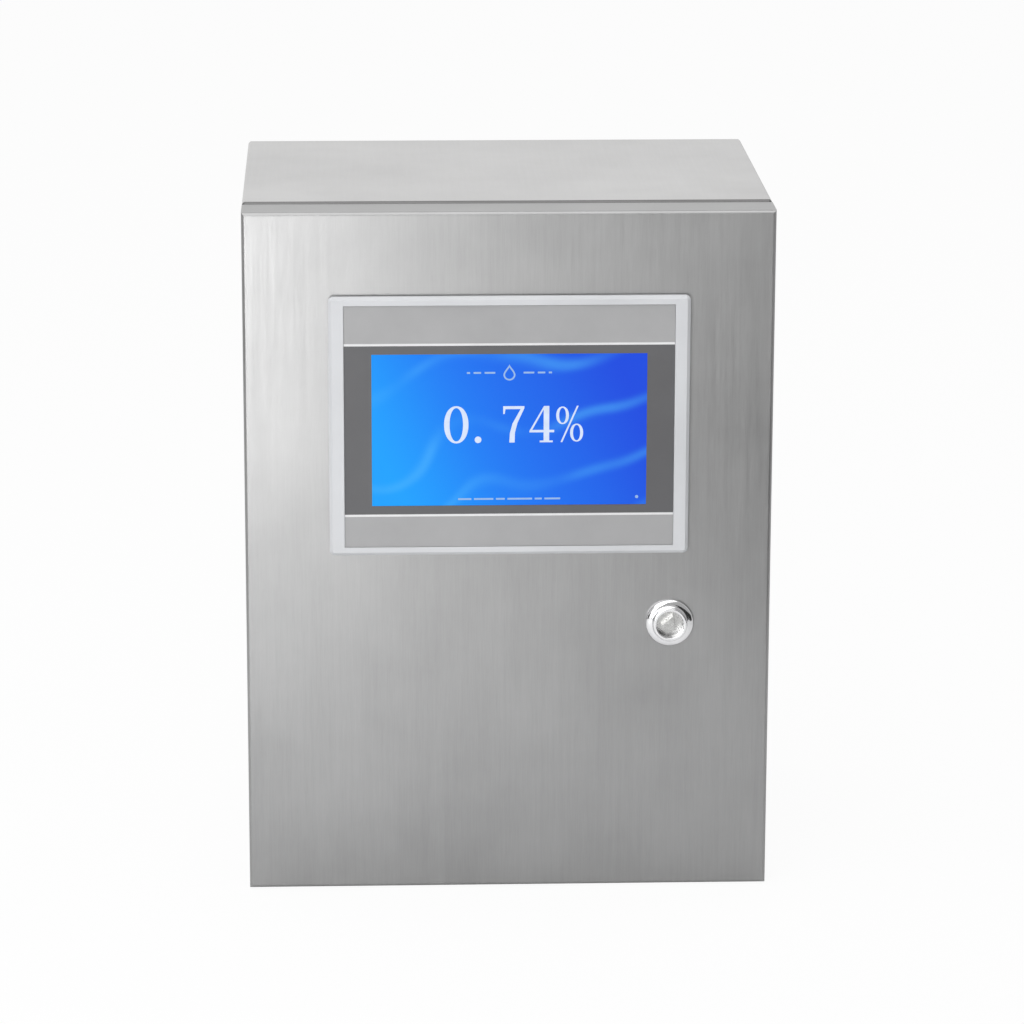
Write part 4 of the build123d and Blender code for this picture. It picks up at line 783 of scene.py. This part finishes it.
REACH = 14.0
corners = [(-REACH, -REACH, 0), (REACH, -REACH, 0), (REACH, REACH, 0), (-REACH, REACH, 0)]
floor_mesh = bpy.data.meshes.new("floor")
floor_mesh.from_pydata(corners, [], [(0, 1, 2, 3)])
floor = bpy.data.objects.new("floor", floor_mesh)
scene.collection.objects.link(floor)
floor_look = bpy.data.materials.new("floor")
floor_look.use_nodes = True
tree = floor_look.node_tree
tree.nodes.clear()
path = add(tree, "ShaderNodeLightPath")
seen = calc(tree, "MULTIPLY", path.outputs["Is Camera Ray"], 0.94)
matt = add(tree, "ShaderNodeBsdfDiffuse", {"Color": (0.76, 0.76, 0.76, 1)})
white = add(tree, "ShaderNodeEmission", {"Color": (1, 1, 1, 1), "Strength": 1.0})
mixed = add(tree, "ShaderNodeMixShader", {0: seen, 1: matt.outputs[0], 2: white.outputs[0]})
add(tree, "ShaderNodeOutputMaterial", {"Surface": mixed.outputs[0]})
floor_mesh.materials.append(floor_look)

# The camera sees a white world; the object is lit by one that is darker at the front and the right
world = bpy.data.worlds.new("studio")
scene.world = world
world.use_nodes = True
tree = world.node_tree
tree.nodes.clear()
path = add(tree, "ShaderNodeLightPath")
direction = axes(tree, add(tree, "ShaderNodeTexCoord").outputs["Generated"])
behind = spread(tree, direction["Y"], 0.42, 1.0, -0.5, 0.7)
side = spread(tree, direction["X"], 1.1, 0.9, -0.8, 0.8)
strength = calc(tree, "MULTIPLY", behind, side)
around = calc(tree, "MULTIPLY", strength, calc(tree, "SUBTRACT", 1.0, path.outputs["Is Camera Ray"]))
total = calc(tree, "ADD", around, path.outputs["Is Camera Ray"])
background = add(tree, "ShaderNodeBackground", {"Color": (1, 1, 1, 1), "Strength": total})
add(tree, "ShaderNodeOutputWorld", {"Surface": background.outputs[0]})


def lamp_area(name, spot, target, width, height, power):
    """A rectangular soft light at the spot, turned to the target."""
    data = bpy.data.lights.new(name, "AREA")
    data.shape = "RECTANGLE"
    data.size, data.size_y, data.energy = width, height, power
    made = bpy.data.objects.new(name, data)
    scene.collection.objects.link(made)
    made.location = spot
    made.rotation_euler = (Vector(target) - Vector(spot)).to_track_quat("-Z", "Y").to_euler()
    made.visible_camera = False


def dark_card(name, corner, across, upward):
    """A black card beside the object, which its polished surfaces reflect."""
    corner, across, upward = Vector(corner), Vector(across), Vector(upward)
    corners = [corner, corner + across, corner + across + upward, corner + upward]
    mesh = bpy.data.meshes.new(name)
    mesh.from_pydata(corners, [], [(0, 1, 2, 3)])
    look, tree, shader = material(name)
    plug(tree, shader, Base_Color=(0.02, 0.02, 0.02, 1), Roughness=0.9)
    mesh.materials.append(look)
    card = bpy.data.objects.new(name, mesh)
    scene.collection.objects.link(card)
    card.visible_camera = False


lamp_area("left_softbox", (-0.27, -0.92, 0.20), (-0.14, -0.11, 0.37), 0.26, 0.26, 1.3)
lamp_area("top_softbox", (-0.3, -0.6, 1.9), (0.0, -0.1, 0.3), 2.4, 2.0, 20.0)
lamp_area("front_softbox", (-0.9, -2.1, 1.2), (0.0, -0.1, 0.2), 1.8, 1.4, 15.0)
dark_card("right_card", (0.18, -0.6, 0.05), (0.55, 0.25, 0), (0, 0, 0.17))
dark_card("left_card", (-0.85, -0.35, 0.10), (0.3, -0.25, 0), (0, 0, 0.2))

# The camera as fitted to the photograph
CAMERA_SPOT = (-0.094, -2.4855, 0.853)
FOCAL_LENGTH = 151.8
SENSOR_WIDTH = 36.0
azimuth, pitch, roll = math.radians(2.31), math.radians(14.79), math.radians(0.14)

level = math.cos(pitch)
forward = Vector((math.sin(azimuth) * level, math.cos(azimuth) * level, -math.sin(pitch)))
right = forward.cross(Vector(UP)).normalized()
up = right.cross(forward)
tilted_right = right * math.cos(roll) + up * math.sin(roll)
tilted_up = up * math.cos(roll) - right * math.sin(roll)
camera_data = bpy.data.cameras.new("camera")
camera_data.lens = FOCAL_LENGTH
camera_data.sensor_width = SENSOR_WIDTH
camera_data.clip_end = 50.0
camera = bpy.data.objects.new("camera", camera_data)
scene.collection.objects.link(camera)
turn = Matrix((tilted_right, tilted_up, -forward)).transposed()
camera.matrix_world = Matrix.Translation(CAMERA_SPOT) @ turn.to_4x4()
scene.camera = camera
scene.view_settings.view_transform = "Standard"
